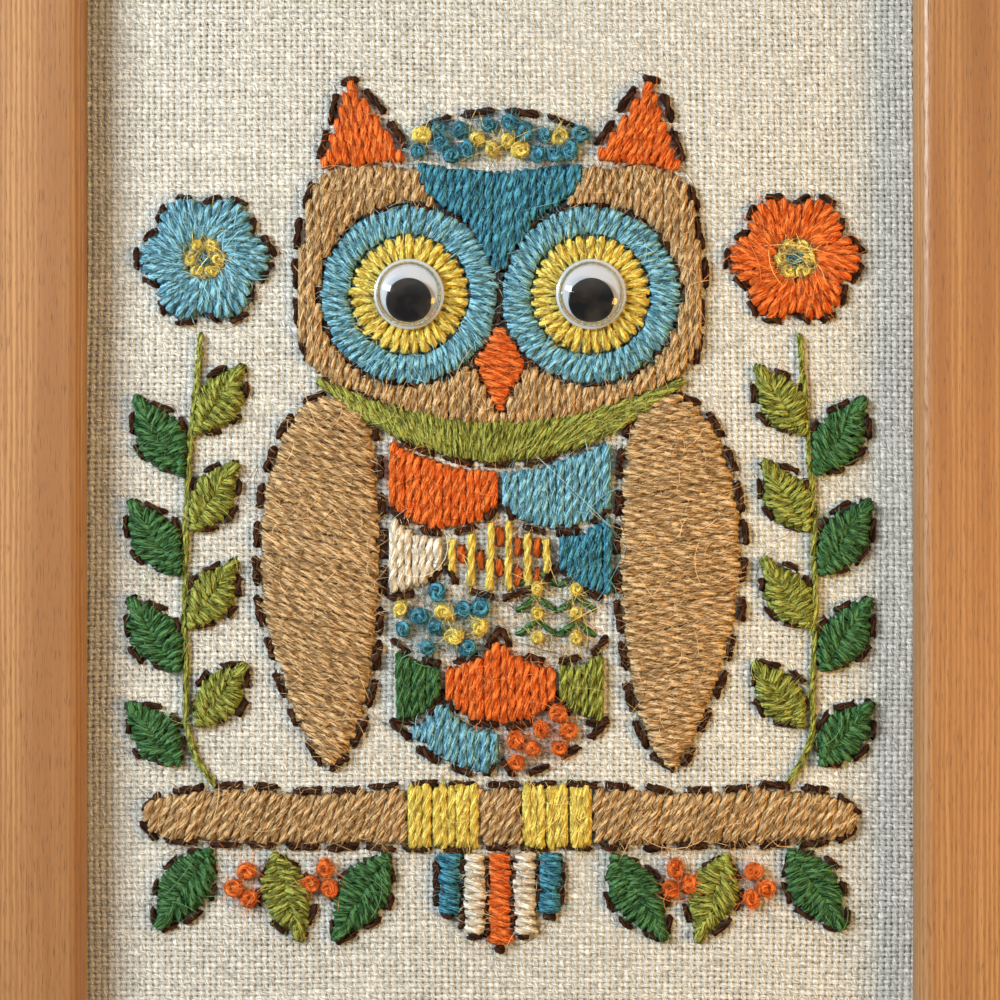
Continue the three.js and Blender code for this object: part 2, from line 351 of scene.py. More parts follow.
oak, tree, shader = new_material("waxed_oak", Roughness=0.42, Coat_Weight=0.12,
                                 Coat_Roughness=0.25, Specular_IOR_Level=0.45)
grain = strand_place(tree)
rings_at = drawn_out(tree, grain, along=0.006, across=0.16)
rings = add_node(tree, "ShaderNodeTexWave", {
    "Vector": rings_at, "Scale": 2.6, "Distortion": 5.0, "Detail": 3.0,
    "Detail Scale": 1.5, "Detail Roughness": 0.6}, bands_direction="Y").outputs["Fac"]
cloudy = noise(tree, 1.0, 3.0, place=rings_at)
pores = noise(tree, 1.0, 4.0, 0.7, drawn_out(tree, grain, along=0.35, across=5.5))
pore_mask = ranged(tree, pores, 0.56, 0.68)
wood_tone = mixed(tree, ranged(tree, rings, 0.1, 0.9), dye(158, 112, 66), dye(190, 146, 96))
wood_tone = mixed(tree, ranged(tree, cloudy, 0.35, 0.65), wood_tone, dye(148, 102, 60))
wood_tone = mixed(tree, worked_out(tree, "MULTIPLY", pore_mask, 0.55), wood_tone, dye(92, 58, 30))
feed(tree, shader, Base_Color=wood_tone, Roughness=ranged(tree, pores, 0.35, 0.7, 0.34, 0.62))
relief(tree, shader, worked_out(tree, "SUBTRACT", 1.0, pore_mask), 0.00008, 0.7)


def distance_along(line):
    """How far along a line each of its points lies."""
    return np.r_[0, np.cumsum(np.linalg.norm(np.diff(line, axis=0), axis=1))]


def rail_piece(side, turn, half_length, half_across):
    """One rail with its outer edge half_across from the middle, turned to its side."""
    around = len(rail_section)
    reach = half_length - rail_section[:, 0] - MITRE_GAP
    points = np.zeros((RAIL_STATIONS, around, 3))
    points[..., 0] = np.linspace(-1, 1, RAIL_STATIONS)[:, None] * reach
    points[..., 1] = rail_section[:, 0] - half_across
    points[..., 2] = rail_section[:, 1]
    girth = distance_along(np.vstack([rail_section, rail_section[:1]]))
    before, after = girth[:-1], girth[1:]
    quads = band_quads(RAIL_STATIONS, around)[:, (1, 2, 3, 0)]
    along = (points[..., 0] + GRAIN_APART * turn).ravel()[quads]
    across = np.tile(np.stack([after, after, before, before], -1), (RAIL_STATIONS - 1, 1))
    x, y, z = points.reshape(-1, 3).T
    c, s = round(math.cos(turn * math.pi / 2)), round(math.sin(turn * math.pi / 2))
    piece = new_piece(f"oak_rail_{side}", np.c_[x * c - y * s, x * s + y * c, z], quads, oak,
                      "frame_wood", uv=np.stack([along, across], -1))
    cap_mitres(piece, around)
    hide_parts(f"frame_rail_{side}")


def cap_mitres(piece, around):
    """Closes both mitred ends with end grain."""
    shape = bmesh.new()
    shape.from_mesh(piece.data)
    shape.verts.ensure_lookup_table()
    corners = list(shape.verts)
    for end in (corners[:around], corners[:-around - 1:-1]):
        shape.faces.new(end)
    bmesh.ops.triangulate(shape, faces=[f for f in shape.faces if len(f.verts) > 4])
    bmesh.ops.recalc_face_normals(shape, faces=shape.faces)
    shape.to_mesh(piece.data)
    shape.free()
    piece.data.set_sharp_from_angle(angle=math.radians(40))


for turn, side in enumerate(("bottom", "right", "top", "left")):
    rail_piece(side, turn, *(OUTER[::-1] if turn % 2 else OUTER))

# ---- linen ground ----------------------------------------------------------------------
# Unbleached plain-weave linen, cut 174 x 225 mm, stretched over the mounting board and turned
# in behind it with mitred corners. Each thread of the face that can be seen is modelled.
LINEN_LOW, LINEN_HIGH = in_millimetres("linen_ground")
MARGIN = 18.0
CLOTH_THICK = 0.3
WARP_PITCH, WEFT_PITCH = 0.90, 0.78
SIGHT_HALF = (58.3, 83.8)
WEAVE_Z = LINEN_HIGH[2] - 0.32
FLOAT_RISE = 0.15
THREAD_CROWN = 0.22
SLUB_SWELLS, SLUB_REACHES = (0.15, 0.4), (4, 12)

rng = np.random.default_rng(20)

spun_fibres, given, out = new_group(
    "spun_fibres", {"Vector": "Vector", "Along": "Float", "Across": "Float", "Slant": "Float"},
    {"Streak": "Float", "Height": "Float"})
parts = add_node(spun_fibres, "ShaderNodeSeparateXYZ", {0: given["Vector"]}).outputs
run = worked_out(spun_fibres, "MULTIPLY", parts[0], given["Along"])
lean = worked_out(spun_fibres, "MULTIPLY", parts[0], given["Slant"])
side = worked_out(spun_fibres, "ADD", parts[1], lean)
side = worked_out(spun_fibres, "MULTIPLY", side, given["Across"])
at = add_node(spun_fibres, "ShaderNodeCombineXYZ", {0: run, 1: side}).outputs[0]
broad = worked_out(spun_fibres, "MULTIPLY", noise(spun_fibres, 1.0, 2.0, 0.6, at), 0.6)
fine = worked_out(spun_fibres, "MULTIPLY", noise(spun_fibres, 2.7, 2.0, 0.6, at), 0.4)
both = worked_out(spun_fibres, "ADD", broad, fine)
feed(spun_fibres, out, Streak=ranged(spun_fibres, both, 0.41, 0.59), Height=both)


def yarn_material(name, dark, light, along, across, slant, distance, least, most, **values):
    """Spun yarn whose streaks go from dark to light, by the least or the most of the painted shade
    and tone that each point carries; painted shade draws a point towards the dark colour.
    """
    material, tree, shader = new_material(name, **values)
    fibres = use_group(tree, spun_fibres, {
        "Vector": strand_place(tree), "Along": along, "Across": across, "Slant": slant})
    tone_and_painted_shade = add_node(tree, "ShaderNodeAttribute", attribute_name="tone_and_painted_shade").outputs["Fac"]
    caught = worked_out(tree, "MULTIPLY", ranged(tree, fibres["Streak"], 0.0, 1.0, least, most), tone_and_painted_shade)
    feed(tree, shader, Base_Color=mixed(tree, caught, dark, light))
    relief(tree, shader, fibres["Height"], distance)
    return material


# The dark linen colour is painted shade: the threads blend towards it where their painted shade is
# deepest, in the pinholes and where they dive under.
linen = yarn_material("linen_yarn", dye(122, 122, 114), dye(234, 234, 228), along=0.7, across=5.0,
                      slant=0.3, distance=0.0001, least=0.12, most=1.05,
                      Roughness=0.8, Specular_IOR_Level=0.25, Sheen_Weight=0.1)
linen_back, tree, shader = new_material("linen_cloth", Roughness=0.9, Specular_IOR_Level=0.15)
place = object_place(tree)
ribs = [add_node(tree, "ShaderNodeTexWave", {"Vector": place, "Scale": math.pi / 10 / (pitch * MM)},
                 bands_direction=way).outputs["Fac"]
        for way, pitch in (("X", WARP_PITCH), ("Y", WEFT_PITCH))]
weave = worked_out(tree, "MULTIPLY", *ribs)
feed(tree, shader, Base_Color=mixed(tree, weave, dye(178, 170, 150), dye(214, 208, 192)))
relief(tree, shader, weave, 0.0002, 0.8)

# The cloth itself, from the middle of the face over the edge to its cut edge behind.
EDGE_ROUND = 1.0
FACE_Z, BACK_Z = WEAVE_Z - 0.24, LINEN_LOW[2] + 0.2
profile = [(60.0, FACE_Z), (20.0, FACE_Z), (EDGE_ROUND, FACE_Z)]
for a in np.linspace(0.3, math.pi / 2, 5):
    profile.append((EDGE_ROUND * (1 - math.sin(a)), FACE_Z - EDGE_ROUND * (1 - math.cos(a))))
for a in np.linspace(0, math.pi / 2 - 0.3, 5):
    profile.append((EDGE_ROUND * (1 - math.cos(a)), BACK_Z + EDGE_ROUND * (1 - math.sin(a))))
profile += [(EDGE_ROUND, BACK_Z), (MARGIN, BACK_Z)]
points = [(x * (LINEN_HIGH[0] - inset), y * (LINEN_HIGH[1] - inset), z)
          for inset, z in profile for x, y in CORNERS]
quads = np.vstack([band_quads(len(profile), 4)[:, (0, 3, 2, 1)], (0, 1, 2, 3)])
cloth = new_piece("linen_cloth", np.array(points), quads, linen_back, "linen")
thicken = cloth.modifiers.new("thickness", "SOLIDIFY")
thicken.thickness = CLOTH_THICK * MM
thicken.offset = -1
cloth.data.set_sharp_from_angle(angle=math.radians(60))

# Waves of the cloth and of its threads: height, turn along x and y for each millimetre, start.
CLOTH_RISES = ((0.05, 0.09, 0.05, 0.6), (0.04, -0.07, 0.16, 2.0), (0.03, 0.31, 0.22, 0.0))
WANDER_ACROSS = ((0.35, 0.02, 0.034, 0.9), (0.10, 0.05, 0.13, 0.0))
WANDER_UP = ((0.30, 0.031, 0.012, 2.2), (0.10, 0.15, -0.04, 1.0))
DENSE_FACE = (14.0, 44.0)
WELL_INSIDE = 1.3
THREADS_APART, COLUMN_WIDTH = 61.0, 0.45


def waves(x, y, table):
    """The sum of a table's waves at each place."""
    return sum(height * np.sin(turn_x * x + turn_y * y + start)
               for height, turn_x, turn_y, start in table)


def smooth_noise(rows, length, knot_every, size):
    """One smooth random wave for each row."""
    knots = rng.normal(0, size, (rows, length // knot_every + 3))
    t = np.arange(length) / knot_every
    base, part = t.astype(int), t % 1
    ease = part * part * (3 - 2 * part)
    return knots[:, base] * (1 - ease) + knots[:, base + 1] * ease


def hidden_lattice(xs, ys):
    """Which crossings of threads lie under dense wool, well inside its edges."""
    under = np.zeros((len(xs), len(ys)), bool)
    upwards = Vector((0, 0, 1))
    around = ((WELL_INSIDE, 0), (-WELL_INSIDE, 0), (0, WELL_INSIDE), (0, -WELL_INSIDE))
    for name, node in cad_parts.items():
        if not name.startswith("wool_"):
            continue
        mound = BVHTree.FromObject(node, bpy.context.evaluated_depsgraph_get())
        low, high = in_millimetres(name)
        dense_low, dense_high = DENSE_FACE if name == "wool_owl_body" else (low[1], high[1])
        for i in np.nonzero((xs > low[0]) & (xs < high[0]))[0]:
            for j in np.nonzero((ys > dense_low) & (ys < dense_high))[0]:
                starts = [Vector(((xs[i] + dx) * MM, (ys[j] + dy) * MM, 0)) for dx, dy in around]
                under[i, j] |= all(mound.ray_cast(start, upwards)[0] is not None for start in starts)
    return under


def thread_set(name, count, crossings, pitch, cross_pitch, upright):
    """All the warp or all the weft threads of the picture face, as one mesh."""
    steps = 2 * crossings - 1
    fixed = (np.arange(count) - (count - 1) / 2) * pitch
    along = (np.arange(steps) - (steps - 1) / 2) * cross_pitch / 2
    crossing_at = along[::2]
    under = hidden_lattice(fixed, crossing_at) if upright else hidden_lattice(crossing_at, fixed).T
    thread, step = np.meshgrid(np.arange(count), np.arange(steps), indexing="ij")
    over = ((thread + step // 2) % 2 == 0) == upright
    at_crossing = step % 2 == 0

    def by_place(where_over, where_under, between):
        """One value where the thread lies over, one where it dives under, one in between."""
        return np.where(at_crossing, np.where(over, where_over, where_under), between)

    lift = by_place(1.0, -1.0, 0.0)
    slub = 1 + smooth_noise(count, steps, 9, 0.10) + smooth_noise(count, steps, 3, 0.05)
    for _ in range(count // 3):
        row, centre = rng.integers(count), rng.uniform(0, steps)
        swell, reach = rng.uniform(*SLUB_SWELLS), rng.uniform(*SLUB_REACHES)
        slub[row] += swell * np.exp(-((np.arange(steps) - centre) / reach) ** 2)
    width = pitch * by_place(0.55, 0.40, 0.385) * slub
    sideways = fixed[:, None] + smooth_noise(count, steps, 12, 0.045)
    lengthways = along + np.zeros((count, 1))
    x, y = (sideways, lengthways) if upright else (lengthways, sideways)
    x, y = x + waves(x, y, WANDER_ACROSS), y + waves(x, y, WANDER_UP)
    z = WEAVE_Z + waves(x, y, CLOTH_RISES) + lift * FLOAT_RISE + 0.03 * rng.normal(size=x.shape)
    crown = np.array([0.0, 1.0, 0.0]) * THREAD_CROWN - THREAD_CROWN / 2
    points = np.stack([x, y, z], -1)[:, :, None].repeat(3, 2)
    points[..., 0 if upright else 1] += np.array([-1.0, 0.0, 1.0]) * width[..., None]
    points[..., 2] += crown * np.minimum(slub, 1.4)[..., None]
    i, j, k = np.meshgrid(np.arange(count), np.arange(steps - 1), np.arange(2), indexing="ij")
    shown = ~(under[i, j // 2] & under[i, (j + 1) // 2])
    first = ((i * steps + j) * 3 + k)[shown]
    quads = np.stack([first, first + 1, first + 4, first + 3], -1)
    if not upright:
        quads = quads[:, ::-1]
    place = along[quads // 3 % steps] + THREADS_APART * (quads // (3 * steps))
    uv = np.stack([place, COLUMN_WIDTH * (quads % 3)], -1)
    # Each thread varies at random in tone and is paler at its slubs; it is also painted lighter where it
    # floats over and darker where it dives under, as painted shade.
    shade = 0.90 + 0.04 * rng.normal(size=(count, 1)) + 0.15 * lift + 0.45 * (slub - 1)
    tone_and_painted_shade = shade[..., None, None] * np.ones((3, 3))
    # Painted shade darkens the edges of each thread, most of all in the pinholes between crossings.
    tone_and_painted_shade[:, :, (0, 2)] *= by_place(0.94, 0.80, 0.62)[..., None, None]
    used, quads = np.unique(quads, return_inverse=True)
    piece = new_piece(name, points.reshape(-1, 3)[used], quads.reshape(-1, 4), linen, "linen",
                      uv=uv, tone_and_painted_shade=tone_and_painted_shade.reshape(-1, 3)[used])
    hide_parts("linen_ground")
    return piece


warp_count = 2 * int(SIGHT_HALF[0] / WARP_PITCH) + 1
weft_count = 2 * int(SIGHT_HALF[1] / WEFT_PITCH) + 1
warp = thread_set("linen_warp", warp_count, weft_count, WARP_PITCH, WEFT_PITCH, upright=True)
weft = thread_set("linen_weft", weft_count, warp_count, WEFT_PITCH, WARP_PITCH, upright=False)
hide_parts("linen_ground")


# ---- wings -----------------------------------------------------------------------------
# Two wings in tan crewel wool, two plies wound together, laid in satin stitch: each strand
# comes up at one edge, lies over the padding, and goes down at the other.
STRAND_PITCH = 1.04
STRAND_RADIUS = 0.71
STRAND_FLAT = 0.70
PLY_HALF_TURN = 2.3
SIDES = 8
LOBES = np.array([1.0, 0.88, 0.60, 0.88] * 2)
STATION_STEP = 0.42
SHOULDER = 0.95
CROWDING = 0.10
SWAY = 0.10
PADDING_HALF, PADDING_INSET = 0.62, 0.55
BURIED_Z = LINEN_HIGH[2] - 0.55
WOOL_TOP = in_millimetres("wool_owl_body")[1][2]
SATIN_Z = WOOL_TOP - STRAND_RADIUS * STRAND_FLAT - 0.12
SHORTEST_STRAND, SHORTEST_PADDED = 0.9, 1.6
FULL_CROWN_LENGTH = 9
SPLINE_STEPS = 12


def spaced(line, count):
    """The line as evenly spaced points."""
    line = np.asarray(line, float)
    run = distance_along(line)
    at = np.linspace(0, run[-1], count)
    return np.stack([np.interp(at, run, line[:, i]) for i in range(line.shape[1])], -1)


def smooth_line(corners, count, closed=True):
    """An even line of points on a centripetal spline through the corners."""
    p = np.array(corners, float)
    if closed:
        p = np.vstack([p[-1], p, p[:2]])
    else:
        p = np.vstack([2 * p[0] - p[1], p, 2 * p[-1] - p[-2]])
    t = np.linspace(0, 1, SPLINE_STEPS, endpoint=False)[:, None]
    rows = []
    for p0, p1, p2, p3 in zip(p, p[1:], p[2:], p[3:]):
        d1, d2, d3 = (max(np.linalg.norm(b - a), 1e-6) ** 0.5 for a, b in ((p0, p1), (p1, p2), (p2, p3)))
        t1 = ((p1 - p0) / d1 - (p2 - p0) / (d1 + d2) + (p2 - p1) / d2) * d2
        t2 = ((p2 - p1) / d2 - (p3 - p1) / (d2 + d3) + (p3 - p2) / d3) * d2
        rows.append((2 * t**3 - 3 * t**2 + 1) * p1 + (t**3 - 2 * t**2 + t) * t1
                    + (-2 * t**3 + 3 * t**2) * p2 + (t**3 - t**2) * t2)
    line = np.vstack([*rows, p[-2:-1]])
    return spaced(line, count + 1)[:-1] if closed else spaced(line, count)


def flipped(points, side):
    """Points of the right-hand side, or their mirror image for side -1."""
    return np.array(points, float) * (side, 1)


def widened(outline, distance):
    """A closed outline moved outwards by the distance."""
    ahead, behind = np.roll(outline, -1, 0), np.roll(outline, 1, 0)
    along = ahead - behind
    along /= np.linalg.norm(along, axis=1)[:, None]
    area = np.sum(outline[:, 0] * ahead[:, 1] - ahead[:, 0] * outline[:, 1])
    return outline + np.c_[along[:, 1], -along[:, 0]] * (distance if area > 0 else -distance)


wool_finishes, wool_hairs = {}, {}
laid_wool = []
outlines = []


def dye_wool(colour, dark, light, hairs, short_share=3.0, long_share=0.4):
    """Crewel wool of one dye: its dark colour is painted shade between its fibres and its light colour
    a painted highlight where they catch the light; with loose hairs, so many short and long ones for
    each place on a strand."""
    wool_finishes[colour] = yarn_material(
        f"{colour}_wool", dye(*dark), dye(*light), along=0.5, across=3.6, slant=0.5, distance=0.0003,
        least=-0.15, most=1.35,
        Roughness=0.9, Specular_IOR_Level=0.08, Sheen_Weight=0.03, Sheen_Roughness=0.4)
    wool_hairs[colour] = hairs, short_share, long_share


class Wool:
    """Strands of one colour, gathered until they become one piece."""

    def __init__(self, colour):
        self.colour = colour
        self.points, self.quads, self.uv, self.tone_and_painted_shade, self.tops = [], [], [], [], []
        self.count = 0

    def add_tube(self, rings, along, shade, girth):
        """A closed tube round the rings, an array of stations x sides x 3."""
        stations, sides = rings.shape[:2]
        body = band_quads(stations, sides)
        seed = 71.0 * rng.random()
        across = girth * (body[:, :1] % sides + (0, 1, 1, 0)) / sides
        uv = np.stack([along[body // sides] + seed, across], -1)
        strips = np.array([(a, a + 1, sides - 2 - a, sides - 1 - a) for a in range(sides // 2 - 1)])
        caps = np.vstack([strips[:, ::-1], strips + (stations - 1) * sides])
        self.quads.append(np.vstack([body, caps]) + self.count)
        self.uv.append(np.concatenate([uv, np.full((len(caps), 4, 2), seed)]))
        self.points.append(rings.reshape(-1, 3))
        self.tone_and_painted_shade.append(shade.reshape(-1, 3))
        self.count += stations * sides

    def add_yarn(self, path, radius, brightness, flat=STRAND_FLAT):
        """Two plies wound together along the path, in millimetres."""
        tangent = np.gradient(path, axis=0)
        tangent /= np.linalg.norm(tangent, axis=1)[:, None]
        side = np.cross((0, 0, 1.0), tangent)
        level = np.linalg.norm(side, axis=1)
        good = np.nonzero(level > 0.3)[0]
        nearest = good[np.abs(np.arange(len(path))[:, None] - good).argmin(1)]
        side = side[nearest] / level[nearest][:, None]
        up = np.cross(tangent, side)
        run = distance_along(path)
        turn = math.pi * run / PLY_HALF_TURN + rng.uniform(0, math.pi)
        angle = turn[:, None] + 2 * math.pi * np.arange(SIDES) / SIDES
        reach = radius * LOBES * (1 + 0.07 * rng.normal(size=(len(path), 1)))
        outward, upward = np.cos(angle) * reach, np.sin(angle) * reach * flat
        rings = path[:, None] + side[:, None] * outward[..., None] + up[:, None] * upward[..., None]
        height = np.clip(upward / (radius * flat), -1, 1)
        # Painted shade: each strand is painted lighter on its top and darker underneath, and darker still
        # in the grooves between its plies.
        shade = brightness * (0.92 + 0.22 * height) * (0.08 + LOBES**3)
        self.add_tube(rings, run, np.repeat(shade[..., None], 3, -1), 2 * math.pi * radius)
        pick = slice(1, -1, 3)
        self.tops.append(np.c_[path[pick] + up[pick] * radius * flat * 0.8, tangent[pick, :2]])

    def add_stitch(self, start, end, top=SATIN_Z, radius=STRAND_RADIUS, shoulder=SHOULDER, crown=0.0,
                   padded=True):
        """One strand that comes up through the cloth at its start and goes down at its end."""
        start, end = np.asarray(start, float), np.asarray(end, float)
        length = np.linalg.norm(end - start)
        if length < 0.5:
            return
        heading = (end - start) / length
        across = np.array([-heading[1], heading[0]])
        at = np.linspace(0, 1, max(6, int(length / STATION_STEP) + 1))
        crowded = CROWDING * np.sin(-2 * math.pi * at) / (2 * math.pi) * min(1, 4 / length) * 2
        at = length * (at + crowded)
        edge = np.clip(np.minimum(at, length - at) / min(shoulder, length / 2), 0, 1)
        rise = np.sqrt(1 - (1 - edge) ** 2)
        peak = top + crown * np.sin(math.pi * at / length) + 0.05 * rng.normal()
        phase, slow = rng.uniform(0, 6.3), rng.uniform(0.25, 0.5)
        sway = SWAY * (np.sin(slow * at + phase) + 0.6 * rng.normal()) * rise
        path = np.c_[start + heading * at[:, None] + across * sway[:, None],
                     BURIED_Z + (peak - BURIED_Z) * rise]
        shade = 1 + 0.07 * rng.normal()
        self.add_yarn(path, radius * (1 + 0.06 * rng.normal()), shade)
        # Where a strand is padded, the padding beneath is painted darker, at 0.68 of its brightness, as
        # painted shade.
        if padded and length > SHORTEST_PADDED:
            inset = heading * PADDING_INSET
            self.add_padding(start + inset, end - inset, top + 0.02, crown, shade * 0.68)

    def add_padding(self, start, end, top, crown, brightness):
        """The flat under-stitch that fills the space below a strand, at a brightness the caller lowers as
        painted shade.
        """
        heading = (end - start) / np.linalg.norm(end - start)
        across = np.array([-heading[1], heading[0], 0]) * PADDING_HALF
        at = np.linspace(0, 1, 4)[:, None]
        level = top + crown * np.sin(math.pi * at) - 0.25 * (np.abs(at - 0.5) > 0.4)
        line = np.c_[start + (end - start) * at, level]
        low = np.c_[line[:, :2], np.full(4, BURIED_Z + 0.3)]
        rings = np.stack([line + across, line - across, low - across, low + across], 1)
        self.add_tube(rings, np.linspace(0, 4, 4), np.full((4, 4, 3), brightness), 2.4)

    def lay(self, name, *nodes):
        """The strands as one piece, standing for its CAD nodes."""
        piece = new_piece(name, np.concatenate(self.points), np.concatenate(self.quads),
                          wool_finishes[self.colour], f"wool_{self.colour}",
                          uv=np.concatenate(self.uv), tone_and_painted_shade=np.concatenate(self.tone_and_painted_shade))
        if nodes:
            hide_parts(*nodes)
        laid_wool.append(self)


def spans(outline, level):
    """Where a level line runs inside an outline, as pairs of start and end."""
    ahead = np.roll(outline, -1, 0)
    hit = (outline[:, 1] <= level) != (ahead[:, 1] <= level)
    a, b = outline[hit], ahead[hit]
    xs = np.sort(a[:, 0] + (level - a[:, 1]) * (b[:, 0] - a[:, 0]) / (b[:, 1] - a[:, 1]))
    return list(zip(xs[::2], xs[1::2]))


def satin(wool, outline, angle, cuts=(), crown=0.25, ragged=0.16):
    """Parallel strands at an angle in degrees across an outline, left open at the cuts."""
    turn = math.radians(angle)
    axes = np.array([[math.cos(turn), -math.sin(turn)], [math.sin(turn), math.cos(turn)]])
    shape = np.asarray(outline, float) @ axes
    openings = [np.asarray(cut, float) @ axes for cut in cuts]
    low, high = shape[:, 1].min(), shape[:, 1].max()
    rows = max(1, round((high - low) / STRAND_PITCH))
    for row in range(rows):
        level = low + (row + 0.5) * (high - low) / rows + 0.04 * rng.normal()
        runs = spans(shape, level)
        for opening in openings:
            for gap_start, gap_end in spans(opening, level):
                kept = []
                for a, b in runs:
                    kept += [(a, min(b, gap_start)), (max(a, gap_end), b)]
                runs = [(a, b) for a, b in kept if b > a]
        for a, b in runs:
            if b - a < SHORTEST_STRAND:
                continue
            a, b = a + ragged * rng.normal(), b + ragged * rng.normal()
            ends = np.array([(a, level), (b, level)]) @ axes.T
            if row % 2:
                ends = ends[::-1]
            wool.add_stitch(*ends, crown=crown * min(1, (b - a) / FULL_CROWN_LENGTH))


def mark_outline(line, closed=False):
    """Keeps a line for the brown running stitch, which is worked last."""
    outlines.append((np.asarray(line, float), closed))


WING = [(19.4, 12), (25.5, 14), (31.2, 6), (33.2, -8), (31, -22), (23.5, -37), (19.8, -31),
        (17.4, -18), (17, -2)]
dye_wool("tan", (106, 72, 28), (234, 202, 154), hairs=(226, 190, 140), long_share=0.7)
for side_name, side in (("left", -1), ("right", 1)):
    wing = smooth_line(flipped(WING, side), 90)
    wool = Wool("tan")
    satin(wool, wing, 12 * side, crown=0.35)
    wool.lay(f"wing_{side_name}", f"wool_wing_{side_name}")
    mark_outline(widened(wing, 0.75), closed=True)

# ---- head ------------------------------------------------------------------------------
# The face in tan satin, upright, left open round the two eye discs and the beak, with a
# teal forehead, orange ear tufts, and an olive collar of fanned stitches below.
EYE_X, EYE_Y = 12.6, 28.5
DISC_RADIUS = 12.3
FACE = [(0, 45.5), (12.5, 46), (24.5, 45), (27.6, 32), (26.4, 19), (17.5, 14.0), (8, 11.2)]
FACE_SIDE = [(25.9, 44.8), (28.1, 38), (28.5, 31), (28.0, 24), (26.6, 18.2)]
FOREHEAD = [(-12.3, 46.6), (0, 45.4), (12.3, 46.6), (9.7, 42.2), (4.6, 38.8), (1.5, 33.8),
            (0, 30.6), (-1.5, 33.8), (-4.6, 38.8), (-9.7, 42.2)]
BEAK = np.array([(0, 24.8), (3.5, 19), (0, 11.4), (-3.5, 19)])
TUFT = [(13.4, 47.4), (20.9, 58.2), (24.7, 46.2)]
TUFT_RIM = [(12.7, 48.4), (20.2, 59.6), (21.6, 59.4), (25.7, 46.4)]


def mirrored(right_side):
    """The corners of one side, closed by their mirror image."""
    return list(right_side) + [(-x, y) for x, y in right_side[::-1]]


def circle(x, y, radius, count=64):
    """A closed ring of points."""
    a = np.linspace(0, 2 * math.pi, count, endpoint=False)
    return np.c_[x + radius * np.cos(a), y + radius * np.sin(a)]


def satin_between(wool, rail_a, rail_b, count=None, ragged=0.12, crown=0.0):
    """Strands that fan from one line to the other."""
    if count is None:
        longest = max(distance_along(rail)[-1] for rail in (rail_a, rail_b))
        count = max(2, round(longest / STRAND_PITCH))
    for a, b in zip(spaced(rail_a, count), spaced(rail_b, count)):
        pull = (b - a) / max(np.linalg.norm(b - a), 1e-6)
        wool.add_stitch(a + pull * ragged * rng.normal(), b + pull * ragged * rng.normal(), crown=crown)


forehead = np.array(FOREHEAD)
discs = [circle(side * EYE_X, EYE_Y, DISC_RADIUS + 0.5) for side in (-1, 1)]
wool = Wool("tan")
satin(wool, smooth_line(mirrored(FACE), 120), 90,
      cuts=[*discs, widened(forehead, 0.3), widened(BEAK, 0.5)])
wool.lay("face", "wool_owl_body")
face_side = spaced(FACE_SIDE, 40)
mark_outline(face_side)
mark_outline(flipped(face_side, -1))

dye_wool("teal", (0, 44, 70), (94, 174, 202), hairs=(96, 160, 176))
wool = Wool("teal")
satin(wool, forehead, 90, ragged=0.1)
wool.lay("forehead", "wool_owl_body")

dye_wool("orange", (168, 54, 0), (252, 142, 70), hairs=(238, 140, 72))
wool = Wool("orange")
for side in (-1, 1):
    satin(wool, flipped(TUFT, side), 76 * side)
    mark_outline(flipped(TUFT_RIM, side))
satin(wool, BEAK, 0, ragged=0.1)
wool.lay("tufts_and_beak", "wool_owl_body")
mark_outline(widened(spaced(np.vstack([BEAK, BEAK[:1]]), 41)[:-1], 0.55), closed=True)

dye_wool("olive", (48, 54, 0), (178, 186, 94), hairs=(186, 186, 100), short_share=1.6, long_share=0.3)
collar_x = np.linspace(-1, 1, 60)
collar_top = np.c_[25.3 * collar_x, 11.0 + 5.6 * collar_x**2]
collar_foot = np.c_[17.6 * collar_x, 5.4 + 5.6 * collar_x**2]
wool = Wool("olive")
satin_between(wool, collar_top, collar_foot)
wool.lay("collar", "wool_owl_body")
mark_outline(collar_top + (0, 0.45))
mark_outline(collar_foot[6:-6] - (0, 0.5))

# ---- eye discs -------------------------------------------------------------------------
# Two rings of satin stitch round each eye, laid like spokes: pale blue outside, and yellow
# inside, worked thicker so that the craft eye rests on it.
RING_SPLIT = 8.25
RING_MIDDLE = 2.6
dye_wool("blue", (26, 84, 106), (154, 216, 238), hairs=(160, 212, 226))
dye_wool("yellow", (172, 136, 34), (255, 244, 134), hairs=(250, 228, 140))


def spokes(wool, x, y, inner, outer, **how):
    """Strands laid like spokes round a middle."""
    count = round(math.pi * (inner + outer) / STRAND_PITCH)
    for a in 2 * math.pi * (np.arange(count) + 0.3 * rng.random()) / count:
        out = np.array([math.cos(a), math.sin(a)])
        start = (x, y) + out * (inner + 0.1 * rng.normal())
        end = (x, y) + out * (outer + 0.14 * rng.normal())
        wool.add_stitch(start, end, **how)


blue_rings, yellow_rings = Wool("blue"), Wool("yellow")
for side in (-1, 1):
    spokes(blue_rings, side * EYE_X, EYE_Y, RING_SPLIT + 0.2, DISC_RADIUS)
    spokes(yellow_rings, side * EYE_X, EYE_Y, RING_MIDDLE, RING_SPLIT, top=SATIN_Z + 0.2, radius=0.56)
    mark_outline(circle(side * EYE_X, EYE_Y, DISC_RADIUS + 0.35), closed=True)
blue_rings.lay("eye_rings_outer", "wool_owl_body")
yellow_rings.lay("eye_rings_inner", "wool_owl_body")

